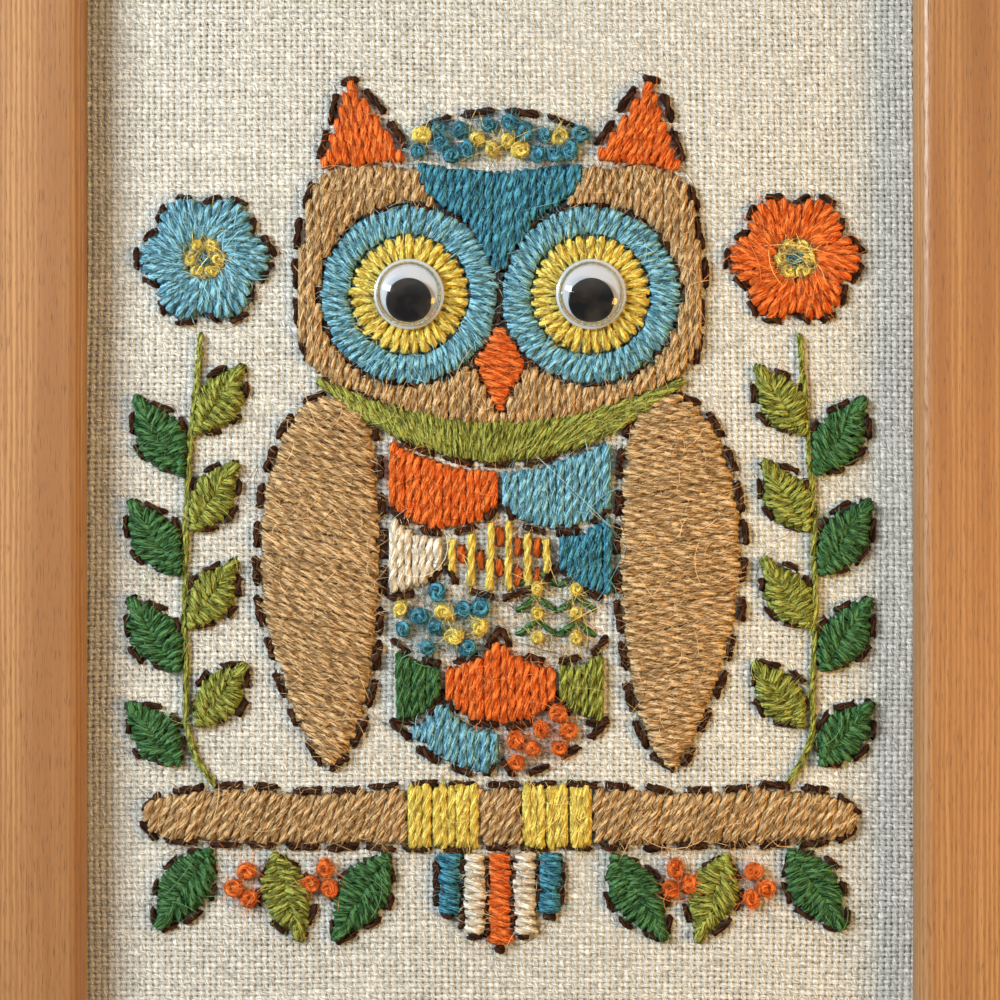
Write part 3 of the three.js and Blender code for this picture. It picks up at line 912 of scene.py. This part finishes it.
# ---- breast ----------------------------------------------------------------------------
# Feathers as overlapping scallops in five rows. Some are filled with upright satin, others
# are left open on the linen and worked with bars, knots or zigzags.
FEATHER_HALF, FEATHER_DEPTH = 7.9, 5.6
ROW_PITCH, FIRST_ROW = 9.0, 1.0
WIDEST_BREAST = 15.7
BREAST_SIDE = np.array([(5.5, 15.9), (0, 15.6), (-20, 15.4), (-27, 14.1), (-33, 12.1), (-36.5, 8.6),
                        (-38.2, 5)])
BAR_PITCH, RUNG_PITCH, RUNG = 2.6, 4.2, 2.7
ZIGZAG_PITCH, ZIGZAG_RISE, ZIGZAG_STEP = 3.4, 1.9, 2.7
KNOT_SIZES, KNOT_TURNS, KNOT_PULL = (0.92, 1.3), (1.7, 2.2), (0.84, 1.12)
KNOT_RADIUS, KNOT_TAPER, KNOT_HEIGHT, KNOT_STRAND = 0.74, 0.16, 0.62, 0.50
KNOT_STATIONS = 24
KNOT_TRIES, KNOTS_APART = 400, 2.3
FILLING_SIDE, FILLING_END = 0.95, 0.75
FEATHERS = [
    (0, -1, "orange"), (0, 1, "blue"),
    (1, -2, "cream"), (1, 0, "bars"), (1, 2, "teal"),
    (2, -1, "knots teal yellow"), (2, 1, "zigzags"),
    (3, -2, "green"), (3, 0, "orange"), (3, 2, "olive"),
    (4, -1, "blue"), (4, 1, "knots orange")]
dye_wool("green", (2, 38, 6), (92, 142, 92), hairs=(104, 150, 100), short_share=1.6)
dye_wool("cream", (178, 160, 132), (255, 253, 242), hairs=(244, 236, 216))
dye_wool("rust", (128, 50, 8), (214, 112, 52), hairs=(220, 130, 70))


def breast_half(y):
    """Half the width of the breast at y."""
    return np.interp(-y, -BREAST_SIDE[:, 0], BREAST_SIDE[:, 1])


def feather_foot(row, x):
    """The lower edge of a row of scallops at x."""
    if row < 0:
        return 4.6 + 5.6 * (x / 17.6) ** 2
    offset = FEATHER_HALF if row % 2 == 0 else 0.0
    nearest = np.round((x - offset) / (2 * FEATHER_HALF)) * 2 * FEATHER_HALF + offset
    shape = np.sqrt(np.clip(1 - ((x - nearest) / FEATHER_HALF) ** 2, 0, 1))
    floor = -38.6 + 0.035 * x * x
    return np.maximum(FIRST_ROW - ROW_PITCH * row - FEATHER_DEPTH * shape, floor)


def add_knot(wool, x, y, size=1.0):
    """A French knot: the strand winds twice round the needle and sinks into its middle."""
    turns = rng.uniform(*KNOT_TURNS)
    a = np.linspace(0, 2 * math.pi * turns, KNOT_STATIONS) + rng.uniform(0, 6.3)
    rise = np.linspace(0, 1, KNOT_STATIONS)
    spin = rng.choice((-1, 1))
    ring = size * (KNOT_RADIUS - KNOT_TAPER * rise)
    z = LINEN_HIGH[2] + 0.25 + size * KNOT_HEIGHT * rise
    lean = rng.normal(0, 0.16, 2)
    pull = rng.uniform(*KNOT_PULL)
    px, py = pull * ring * np.cos(a * spin), ring / pull * np.sin(a * spin)
    coil = np.c_[x + px, y + py, z + lean[0] * px + lean[1] * py]
    last_x, last_y, last_z = coil[-1]
    sink = [(x + 0.2 * (last_x - x), y + 0.2 * (last_y - y), last_z - 0.1), (x, y, last_z - 0.7)]
    path = np.vstack([coil[0] - (0, 0, 0.5), coil, sink])
    wool.add_yarn(path, KNOT_STRAND * size, 1 + 0.06 * rng.normal(), flat=0.9)
    wool.tops.append(np.c_[coil[::3] + (0, 0, 0.4 * size), rng.normal(size=(8, 2))])


def wools(*colours):
    """Strands to gather in each colour."""
    return {colour: Wool(colour) for colour in colours}


def lay_each(name, gathered, *nodes):
    """Each colour of strands as a piece of its own."""
    for colour, wool in gathered.items():
        wool.lay(f"{name}_{colour}", *nodes)


feather_wool = wools("orange", "blue", "cream", "teal", "green", "olive", "yellow", "rust")


def satin_feather(colour, row, x0, x1):
    """A feather filled with upright satin."""
    count = max(2, round((x1 - x0 - 2 * FILLING_SIDE) / STRAND_PITCH) + 1)
    for x in np.linspace(x0 + FILLING_SIDE, x1 - FILLING_SIDE, count):
        top, foot = feather_foot(row - 1, x) - FILLING_END, feather_foot(row, x) + FILLING_END
        if top - foot > SHORTEST_STRAND and abs(x) < breast_half((top + foot) / 2) + 0.2:
            start, end = (x, top + 0.15 * rng.normal()), (x, foot + 0.15 * rng.normal())
            feather_wool[colour].add_stitch(start, end, crown=0.2)


def barred_feather(row, x0, x1):
    """Long yellow bars, with short rust stitches between them."""
    for n, x in enumerate(np.arange(x0 + 1.3, x1 - 0.9, BAR_PITCH)):
        top, foot = feather_foot(row - 1, x) - 0.9, feather_foot(row, x) + 0.9
        lean = rng.normal(0, 0.15)
        feather_wool["yellow"].add_stitch((x + lean, top), (x - lean, foot), top=SATIN_Z - 0.25,
                                          radius=0.6, padded=False)
        if x + 1.3 < x1 - 0.8:
            for y in np.arange(top - 0.6 - 1.6 * (n % 2), foot + 2.2, -RUNG_PITCH):
                start, end = (x + 1.3, y + rng.normal(0, 0.2)), (x + 1.35, y - RUNG)
                feather_wool["rust"].add_stitch(start, end, top=SATIN_Z - 0.45, radius=0.66,
                                                padded=False)


def knotted_feather(row, x0, x1, colours):
    """French knots scattered over the open linen."""
    placed = []
    for _ in range(KNOT_TRIES):
        x = rng.uniform(x0 + 1.6, x1 - 1.6)
        y = FIRST_ROW - ROW_PITCH * row + rng.uniform(-FEATHER_DEPTH, ROW_PITCH)
        inside = feather_foot(row, x) + 1.6 < y < feather_foot(row - 1, x) - 1.6
        clear = all(math.hypot(x - u, y - v) > KNOTS_APART for u, v in placed)
        if inside and clear and abs(x) < breast_half(y) - 1.4:
            placed.append((x, y))
            add_knot(feather_wool[rng.choice(colours)], x, y, rng.uniform(*KNOT_SIZES))


def zigzag_feather(row, x0, x1):
    """Level green zigzags, with yellow knots in their angles."""
    middle = (x0 + x1) / 2
    top, foot = feather_foot(row - 1, middle) - 3.4, feather_foot(row, middle) + 1.4
    for y in np.arange(top, foot, -ZIGZAG_PITCH):
        corners = [(middle + n * ZIGZAG_STEP, y + ZIGZAG_RISE * (n % 2)) for n in range(-2, 3)]
        for a, b in zip(corners, corners[1:]):
            if min(a[1], b[1]) > feather_foot(row, (a[0] + b[0]) / 2) + 0.6:
                feather_wool["green"].add_stitch(a, b, top=SATIN_Z - 0.5, radius=0.5, padded=False)
        for x in (middle - ZIGZAG_STEP, middle + ZIGZAG_STEP):
            if y - 0.4 > feather_foot(row, x) + 1.2:
                add_knot(feather_wool["yellow"], x, y - 0.3, 0.85)


for row, half_steps, filling in FEATHERS:
    middle = half_steps * FEATHER_HALF
    x0, x1 = max(middle - FEATHER_HALF, -WIDEST_BREAST), min(middle + FEATHER_HALF, WIDEST_BREAST)
    kind, *colours = filling.split()
    if kind == "bars":
        barred_feather(row, x0, x1)
    elif kind == "knots":
        knotted_feather(row, x0, x1, [*colours, colours[0]])
    elif kind == "zigzags":
        zigzag_feather(row, x0, x1)
    else:
        satin_feather(kind, row, x0, x1)
    xs = np.linspace(middle - FEATHER_HALF, middle + FEATHER_HALF, 60)
    mark_outline(np.c_[xs, feather_foot(row, xs)][np.abs(xs) < WIDEST_BREAST])
lay_each("feathers", feather_wool, "wool_owl_body")

# ---- branch, toes and tail -------------------------------------------------------------
# The branch is one long bar of slanted tan satin, with three yellow toes over it on each
# side. The tail hangs below in five narrow strips of short level stitches.
BRANCH = [(3, -40.2), (14, -40.2), (26, -41), (40, -40.4), (49, -42.6), (48.6, -46), (38, -47.2),
          (22, -47.6), (3, -47.8)]
TOES = (4.6, 7.9, 11.2)
TOE_HALF, TOE_TOP, TOE_FOOT = 1.35, -39.6, -48.3
TAIL_STRIP, TAIL_TOP, TAIL_FOOT = 3.5, -49.2, -61.6
TAIL_RIM_TOP, TAIL_RIM_FOOT = -49.4, -57
TAIL_COLOURS = ("teal", "cream", "orange", "cream", "teal")


def upright_box(middle, half, top, foot):
    """The corners of an upright strip."""
    left, right = middle - half, middle + half
    return np.array([(left, top), (right, top), (right, foot), (left, foot)])


branch = smooth_line(mirrored(BRANCH), 180)
toes = [upright_box(side * t, TOE_HALF, TOE_TOP, TOE_FOOT) for side in (-1, 1) for t in TOES]
wool = Wool("tan")
satin(wool, branch, 70, cuts=[widened(toe, 0.35) for toe in toes])
wool.lay("branch", "wool_branch")
mark_outline(widened(branch, 0.6), closed=True)
wool = Wool("yellow")
for toe in toes:
    satin(wool, toe, 90, crown=0.4, ragged=0.2)
wool.lay("toes", "wool_branch")

tail_wool = wools("teal", "cream", "orange")
edge = TAIL_STRIP / 2 - 0.3
for strip, colour in zip(range(-2, 3), TAIL_COLOURS):
    middle, foot = strip * TAIL_STRIP, TAIL_FOOT + 1.5 * abs(strip) ** 1.5
    satin(tail_wool[colour], upright_box(middle, edge, TAIL_TOP, foot), 0, ragged=0.1)
    mark_outline([(middle - TAIL_STRIP / 2, TAIL_RIM_TOP), (middle - TAIL_STRIP / 2, foot)])
    mark_outline([(middle - edge, foot - 0.6), (middle + edge, foot - 0.6)])
mark_outline([(2.5 * TAIL_STRIP, TAIL_RIM_TOP), (2.5 * TAIL_STRIP, TAIL_RIM_FOOT)])
lay_each("tail", tail_wool, "wool_tail")

# ---- leaf sprays -----------------------------------------------------------------------
# A spray climbs each side on an olive stem, with leaves in fishbone stitch: strands slant
# from both edges to the midrib. More leaves and orange berries hang under the branch.
LEAVES = [
    (44.6, -36.5, 50, 11, 6.4), (41.9, -31, 128, 10.5, 6.2), (44.8, -23.5, 56, 12, 6.6),
    (42.9, -17.5, 124, 11, 6.2), (44.7, -10, 56, 12, 6.6), (42.6, -4, 122, 11, 6.2),
    (44.2, 4, 58, 12, 6.6), (41.9, 9.5, 124, 11, 6.2), (15.8, -49.6, -58, 13.5, 7),
    (31.4, -49.4, -108, 12.5, 6.8), (40.4, -48.8, -56, 13, 7)]
LEAF_PITCH, LEAF_SLANT, LEAF_BELLY = 0.98, 2.4, 0.85
STEM = [(39.5, -39.8), (43.0, -34), (43.4, -24), (43.6, -10), (43.3, 2), (42.6, 10), (41.3, 23.2)]
BERRIES = [(24.3, -51.2), (26.3, -53.3), (23.7, -54.0), (35.2, -51.6), (37.0, -53.9), (34.9, -55.3)]


def leaf_half(t, half_width):
    """Half the width of a leaf, from its stalk at 0 to its tip at 1."""
    return half_width * np.sin(math.pi * t**LEAF_BELLY)


def add_leaf(wool, x, y, direction, length, width):
    """Fishbone satin over one leaf; gives its outline."""
    turn = math.radians(direction)
    axes = np.array([[math.cos(turn), math.sin(turn)], [-math.sin(turn), math.cos(turn)]])
    t = np.linspace(0.03, 1, 40)
    for side in (-1, 1):
        edge = np.c_[t * length, side * (leaf_half(t, width / 2) - 0.1)]
        rib = np.c_[np.clip(t * length - LEAF_SLANT, 0, length), side * -0.3 + 0 * t]
        satin_between(wool, rib @ axes + (x, y), edge @ axes + (x, y),
                      count=round(length / LEAF_PITCH), crown=0.1)
    t = np.linspace(0, 1, 40)
    rim = np.c_[t * (length + 0.5), leaf_half(t, width / 2 + 0.55)]
    return np.vstack([rim, (rim * (1, -1))[::-1]]) @ axes + (x, y)


leaf_wool, leaf_nodes, small_outlines = wools("green", "olive"), {"green": [], "olive": []}, []
berries = Wool("orange")
for side_name, side in (("left", -1), ("right", 1)):
    for number, (x, y, direction, length, width) in enumerate(LEAVES):
        colour = "olive" if number % 2 else "green"
        direction = direction if side > 0 else 180 - direction
        small_outlines.append(add_leaf(leaf_wool[colour], side * x, y, direction, length, width))
        leaf_nodes[colour].append(f"wool_leaf_{side_name}_{number + 1}")
    stem = spaced(flipped(smooth_line(STEM, 70, closed=False), side), 36)
    for a, b in zip(stem, stem[2:]):
        leaf_wool["olive"].add_stitch(a + rng.normal(0, 0.08, 2), b + (0.22 * side, 0), top=SATIN_Z - 0.35,
                                      radius=0.46, padded=False, shoulder=1.2)
    for x, y in BERRIES:
        add_knot(berries, side * x, y, 1.2)
for colour, wool in leaf_wool.items():
    wool.lay(f"leaves_{colour}", *leaf_nodes[colour])
berries.lay("berries")

# ---- flowers ---------------------------------------------------------------------------
# A six-petalled flower at the top of each spray, laid in spokes, blue on the left and
# orange on the right, with seven French knots for its middle.
FLOWER_X, FLOWER_Y, FLOWER_RADIUS, PETALS = 41, 33.5, 9.2, 6
FLOWER_MIDDLE, KNOT_RING = 2.9, 1.95


def petal_reach(angle):
    """How far the petals reach from the middle, in a direction."""
    return FLOWER_RADIUS * (0.76 + 0.24 * abs(math.cos(PETALS * angle / 2)) ** 0.7)


flower_knots = wools("yellow", "teal")
for side_name, side, colour in (("left", -1, "blue"), ("right", 1, "orange")):
    x, y = side * FLOWER_X, FLOWER_Y
    wool = Wool(colour)
    count = round(2 * math.pi * FLOWER_RADIUS * 0.68 / STRAND_PITCH)
    for a in 2 * math.pi * np.arange(count) / count:
        out = np.array([math.cos(a), math.sin(a)])
        start = (x, y) + out * (FLOWER_MIDDLE + 0.1 * rng.normal())
        wool.add_stitch(start, (x, y) + out * (petal_reach(a) - 0.2), crown=0.15)
    wool.lay(f"flower_{side_name}", f"wool_flower_{side_name}")
    small_outlines.append(np.array([
        (x + (petal_reach(a) + 0.4) * math.cos(a), y + (petal_reach(a) + 0.4) * math.sin(a))
        for a in np.linspace(0, 2 * math.pi, 120, endpoint=False)]))
    for n in range(6):
        a = n * math.pi / 3
        add_knot(flower_knots["yellow"], x + KNOT_RING * math.cos(a), y + KNOT_RING * math.sin(a), 0.95)
    add_knot(flower_knots["teal"], x, y, 0.95)
lay_each("flower_knots", flower_knots)

# ---- crown knots -----------------------------------------------------------------------
# French knots in teal and yellow crewel wool crowd the crown of the head between the two
# ear tufts. Each is wound round the needle on the linen and drawn down into its own middle.
CROWN_TRIES, CROWN_KNOTS_APART, YELLOW_SHARE = 900, 2.05, 0.3

crown_wool = wools("teal", "yellow")
placed = []
for _ in range(CROWN_TRIES):
    x = rng.uniform(-11.4, 11.4)
    y = rng.uniform(47.9, 52.6 - 0.012 * x * x)
    if all(math.hypot(x - u, y - v) > CROWN_KNOTS_APART for u, v in placed):
        placed.append((x, y))
        colour = "yellow" if rng.random() < YELLOW_SHARE else "teal"
        add_knot(crown_wool[colour], x, y, rng.uniform(*KNOT_SIZES))
lay_each("crown_knots", crown_wool)
crown_x = np.linspace(-11.5, 11.5, 40)
mark_outline(np.c_[crown_x, 54.1 - 0.02 * crown_x**2])

# ---- outlines --------------------------------------------------------------------------
# Dark brown running stitch goes round every part, close against the satin, so that some of
# the stitches are half tucked under its edge.
dye_wool("brown", (14, 6, 3), (82, 52, 36), hairs=(110, 76, 56), short_share=1.6, long_share=0.3)


def running_stitch(wool, line, closed, on, off, radius):
    """Stitches in turn over and under the cloth along a line."""
    line = np.vstack([line, line[:1]]) if closed else line
    run = distance_along(line)
    count = max(1, round(run[-1] / (on + off)))
    step = run[-1] / count
    for n in range(count):
        at = np.array([n * step + off / 2, (n + 1) * step - off / 2]) + 0.25 * rng.normal(size=2)
        ends = np.stack([np.interp(at, run, line[:, 0]), np.interp(at, run, line[:, 1])], -1)
        wool.add_stitch(*(ends + rng.normal(0, 0.12, (2, 2))), top=SATIN_Z - 0.42, radius=radius,
                        padded=False, shoulder=0.8)


wool = Wool("brown")
for line, closed in outlines:
    running_stitch(wool, line, closed, on=3.7, off=1.7, radius=0.62)
for rim in small_outlines:
    running_stitch(wool, rim, closed=True, on=2.8, off=1.5, radius=0.5)
wool.lay("outline_stitches")

# ---- loose hairs -----------------------------------------------------------------------
# Crewel wool sheds: fine pale fibres stand out of every strand, lie across their
# neighbours, and stray over the linen.
HAIR_RADIUS = 0.04
HAIR_SCATTER = 0.28
STRAY_SHARE = 0.03
PALEST = 1.35
FUZZ_COUNT = 700
# Short, long and stray hairs: rings, mean length, spread, lift, curl and darkest shade.
HAIR_KINDS = (
    (1, 1.1, 0.38, 0.05, 0.28, 0.15),
    (4, 2.9, 0.75, 0.22, 0.28, 0.15),
    (8, 7.0, 0.90, 0.20, 0.13, 0.75))
HAIR_ORDER = ("tan", "orange", "teal", "blue", "yellow", "olive", "green", "cream", "brown", "rust")


def hair_lines(tops, count, stations, mean_length, spread, lift_size, curl):
    """Curved lines that start at the tops of strands, roughly along them."""
    start = tops[rng.integers(len(tops), size=count)]
    heading = np.arctan2(start[:, 4], start[:, 3]) + rng.normal(0, spread, count)
    heading += math.pi * rng.integers(0, 2, count)
    length = np.minimum(rng.gamma(3.0, mean_length / 3, count) + 0.6, 5 + 1.6 * mean_length)
    bend = rng.normal(0, curl, count)
    t = np.linspace(0, 1, stations)
    course = heading[:, None] + (bend * length)[:, None] * (t - 0.3)
    step = (length / (stations - 1))[:, None]
    x, y = (start[:, n:n + 1] + HAIR_SCATTER * rng.normal(size=(count, 1))
            + np.cumsum(part(course) * step, 1) - length[:, None] / 2 * part(heading[:, None])
            for n, part in enumerate((np.cos, np.sin)))
    lift = np.abs(rng.normal(lift_size, lift_size, count))[:, None]
    z = start[:, 2:3] - 0.05 + lift * 4 * t * (1 - t)
    return np.stack([x, y, z], -1), np.stack([-np.sin(course), np.cos(course), 0 * course], -1)


def loose_hairs(name, tops, finish, slot, short_share, long_share):
    """Short hairs that hug the strands, longer ones that stand away, and a few that stray."""
    points, quads, tris, shades, base = [], [], [], [], 0
    shares = short_share, long_share, STRAY_SHARE
    for share, (rings, *course, darkest) in zip(shares, HAIR_KINDS):
        count = max(1, int(len(tops) * share))
        line, across = hair_lines(tops, count, rings + 2, *course)
        thick = HAIR_RADIUS * (0.6 + 0.7 * rng.random((count, 1)))[..., None, None]
        corner = 2 * math.pi * np.arange(3) / 3
        ring = (line[:, 1:-1, None] + across[:, 1:-1, None] * (np.cos(corner)[:, None] * thick)
                + np.array([0, 0, 1.0]) * (np.sin(corner)[:, None] * thick))
        each = 3 * rings + 2
        hair = np.concatenate([line[:, :1], ring.reshape(count, -1, 3), line[:, -1:]], 1)
        points.append(hair.reshape(-1, 3))
        k = np.arange(3)
        after = (k + 1) % 3
        first = base + each * np.arange(count)[:, None, None]
        last = first + 1 + 3 * (rings - 1)
        tris += [np.stack([first + 0 * k, first + 1 + k, first + 1 + after], -1).reshape(-1, 3),
                 np.stack([first + each - 1 + 0 * k, last + after, last + k], -1).reshape(-1, 3)]
        low = first + 1 + 3 * np.arange(rings - 1)[:, None]
        quads.append(np.stack([low + k, low + 3 + k, low + 3 + after, low + after], -1).reshape(-1, 4))
        shades.append(np.repeat(darkest + (PALEST - darkest) * rng.random(count) ** 1.6, each))
        base += each * count
    tone_and_painted_shade = np.concatenate(shades)[:, None] * np.ones(3)
    new_piece(name, np.concatenate(points), np.concatenate(quads), finish, slot, tone_and_painted_shade=tone_and_painted_shade,
              tris=np.concatenate(tris))


hair_finishes = {}
for colour in HAIR_ORDER:
    hair_colour, short_share, long_share = wool_hairs[colour]
    finish, tree, shader = new_material(f"{colour}_hair", Roughness=0.55, Specular_IOR_Level=0.4)
    tone_and_painted_shade = add_node(tree, "ShaderNodeAttribute", attribute_name="tone_and_painted_shade").outputs["Color"]
    feed(tree, shader, Base_Color=mixed(tree, 1.0, dye(*hair_colour), tone_and_painted_shade, "MULTIPLY"))
    hair_finishes[colour] = finish
    tops = np.concatenate([top for wool in laid_wool if wool.colour == colour for top in wool.tops])
    loose_hairs(f"hairs_{colour}", tops, finish, f"wool_{colour}", short_share, long_share)

# Loose tan and brown fuzz has caught on the open linen of the breast.
open_linen = []
while len(open_linen) < FUZZ_COUNT:
    x, y = rng.uniform(-15.5, 15.5), rng.uniform(-37, 4)
    if abs(x) < breast_half(y) - 0.5:
        open_linen.append((x, y, LINEN_HIGH[2] + 0.12, rng.normal(), rng.normal()))
for colour, short_share, long_share in (("tan", 2.4, 0.3), ("brown", 0.9, 0.1)):
    loose_hairs(f"fuzz_{colour}", np.array(open_linen), hair_finishes[colour], f"wool_{colour}",
                short_share, long_share)

# ---- moving craft eyes -----------------------------------------------------------------
# Bought plastic eyes, glued on: a white backing disc, a loose black pupil that rolls about
# on it, and a clear moulded cover with a narrow flange. They are 9.9 mm across.
EYE_SIDES = 72
BACKING_RADIUS, BACKING_RIM, STEP_RADIUS = 4.9, 0.28, 4.28
PUPIL_EDGE = 0.18
COVER_RADIUS, COVER_HEIGHT, COVER_THICK = 4.95, 2.95, 0.16
DOME_WALL, DOME_OUTSIDE, DOME_INSIDE, DOME_SQUARENESS = 1.15, 4.45, 4.31, 0.92


def turned_piece(name, profile, x, y, z, material, slot, body="root"):
    """A shape turned about its own upright axis. The profile starts and ends at the middle."""
    profile = np.array(profile, float)
    inner = profile[1:-1]
    a = 2 * math.pi * np.arange(EYE_SIDES) / EYE_SIDES
    rings = np.stack([inner[:, :1] * np.cos(a), inner[:, :1] * np.sin(a), inner[:, 1:] + 0 * a], -1)
    points = np.vstack([rings.reshape(-1, 3), (0, 0, profile[0, 1]), (0, 0, profile[-1, 1])]) + (x, y, z)
    k = np.arange(EYE_SIDES)
    after, end = (k + 1) % EYE_SIDES, (len(inner) - 1) * EYE_SIDES
    first, last = np.full(EYE_SIDES, len(points) - 2), np.full(EYE_SIDES, len(points) - 1)
    tris = np.vstack([np.c_[first, after, k], np.c_[last, end + k, end + after]])
    return new_piece(name, points, band_quads(len(inner), EYE_SIDES), material, slot,
                     body=body, tris=tris)


def stepped_disc(top):
    """The profile of the backing disc, with a raised middle and a lower rim."""
    radius, rim, step = BACKING_RADIUS, BACKING_RIM, STEP_RADIUS
    return [(0, 0), (radius * 0.6, 0), (radius - 0.06, 0), (radius, 0.06), (radius, rim - 0.04),
            (radius - 0.05, rim), (step + 0.04, rim), (step, rim + 0.05),
            (step - 0.02, top - 0.06), (step - 0.09, top), (radius * 0.5, top), (0, top)]


def rounded_disc(radius, top):
    """The profile of the pupil, a disc with a softened rim."""
    rim, edge = radius - PUPIL_EDGE, PUPIL_EDGE
    a = np.linspace(0, math.pi / 2, 5)
    low = [(rim + edge * math.sin(v), edge - edge * math.cos(v)) for v in a]
    high = [(rim + edge * math.cos(v), top - edge + edge * math.sin(v)) for v in a]
    return [(0, 0), (radius * 0.6, 0), *low, *high, (radius * 0.6, top), (0, top)]


def dome(radius, height, angles):
    """The profile of the dome over its upright wall."""
    return [(radius * math.cos(v) ** DOME_SQUARENESS, DOME_WALL + (height - DOME_WALL) * math.sin(v))
            for v in angles]


white_plastic, tree, shader = new_material("white_plastic", Roughness=0.35, Specular_IOR_Level=0.45)
haze = noise(tree, 260.0, 3.0, place=object_place(tree))
feed(tree, shader, Base_Color=mixed(tree, haze, dye(182, 188, 197), dye(193, 198, 205)))
relief(tree, shader, haze, 0.00002, 0.3)
black_plastic, tree, shader = new_material("black_plastic", Specular_IOR_Level=0.15)
# The same noise varies the roughness like scuffs, and paints a brownish mottle of painted sheen, a painted
# reflection, into the black.
scuffs_and_sheen = noise(tree, 380.0, 5.0, place=object_place(tree))
feed(tree, shader, Roughness=ranged(tree, scuffs_and_sheen, 0.3, 0.7, 0.18, 0.30),
     Base_Color=mixed(tree, ranged(tree, scuffs_and_sheen, 0.4, 0.7), dye(4, 3, 3), dye(42, 35, 29)))
clear_plastic, tree, shader = new_material(
    "clear_plastic", Roughness=0.03, IOR=1.46, Transmission_Weight=1.0, Base_Color=(0.98, 0.99, 1.0, 1))
plain_light = add_node(tree, "ShaderNodeBsdfTransparent", {"Color": (0.94, 0.95, 0.96, 1)}).outputs[0]
ray = add_node(tree, "ShaderNodeLightPath").outputs
let_through = worked_out(tree, "MAXIMUM", ray["Is Shadow Ray"], ray["Is Diffuse Ray"])
both = add_node(tree, "ShaderNodeMixShader", {0: let_through, 1: shader.outputs[0], 2: plain_light})
feed(tree, tree.nodes["Material Output"], Surface=both.outputs[0])

flange = [(COVER_RADIUS - 0.02, 0.30), (COVER_RADIUS, 0.36), (4.93, 0.46), (4.85, 0.52), (4.72, 0.54),
          (4.60, 0.54), (4.52, 0.57), (4.47, 0.66), (4.455, 0.80), (DOME_OUTSIDE, DOME_WALL)]
cover_profile = [
    (0, COVER_HEIGHT), *dome(DOME_OUTSIDE, COVER_HEIGHT, np.linspace(0.1, 1.5, 14))[::-1], *flange[::-1],
    (DOME_INSIDE, 0.30), (DOME_INSIDE, 1.10),
    *dome(DOME_INSIDE, COVER_HEIGHT - COVER_THICK, np.linspace(1.5, 0.1, 14))[::-1],
    (0, COVER_HEIGHT - COVER_THICK)]
for side_name, side in (("left", -1), ("right", 1)):
    low, high = in_millimetres(f"eye_{side_name}_dome")
    x, y, z = (low[0] + high[0]) / 2, (low[1] + high[1]) / 2, low[2]
    disc_low, disc_high = in_millimetres(f"eye_{side_name}_base")
    base = turned_piece(f"eye_{side_name}_backing", stepped_disc(disc_high[2] - disc_low[2]),
                        x, y, z, white_plastic, "eye_white")
    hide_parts(f"eye_{side_name}_base")
    low, high = in_millimetres(f"eye_{side_name}_pupil")
    pupil = turned_piece(f"eye_{side_name}_black",
                         rounded_disc((high[0] - low[0]) / 2, high[2] - low[2]),
                         (low[0] + high[0]) / 2, (low[1] + high[1]) / 2, low[2],
                         black_plastic, "eye_black", body=f"pupil_{side_name}")
    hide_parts(f"eye_{side_name}_pupil")
    cover = turned_piece(f"eye_{side_name}_cover", cover_profile, x, y, z, clear_plastic, "eye_clear")
    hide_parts(f"eye_{side_name}_dome")
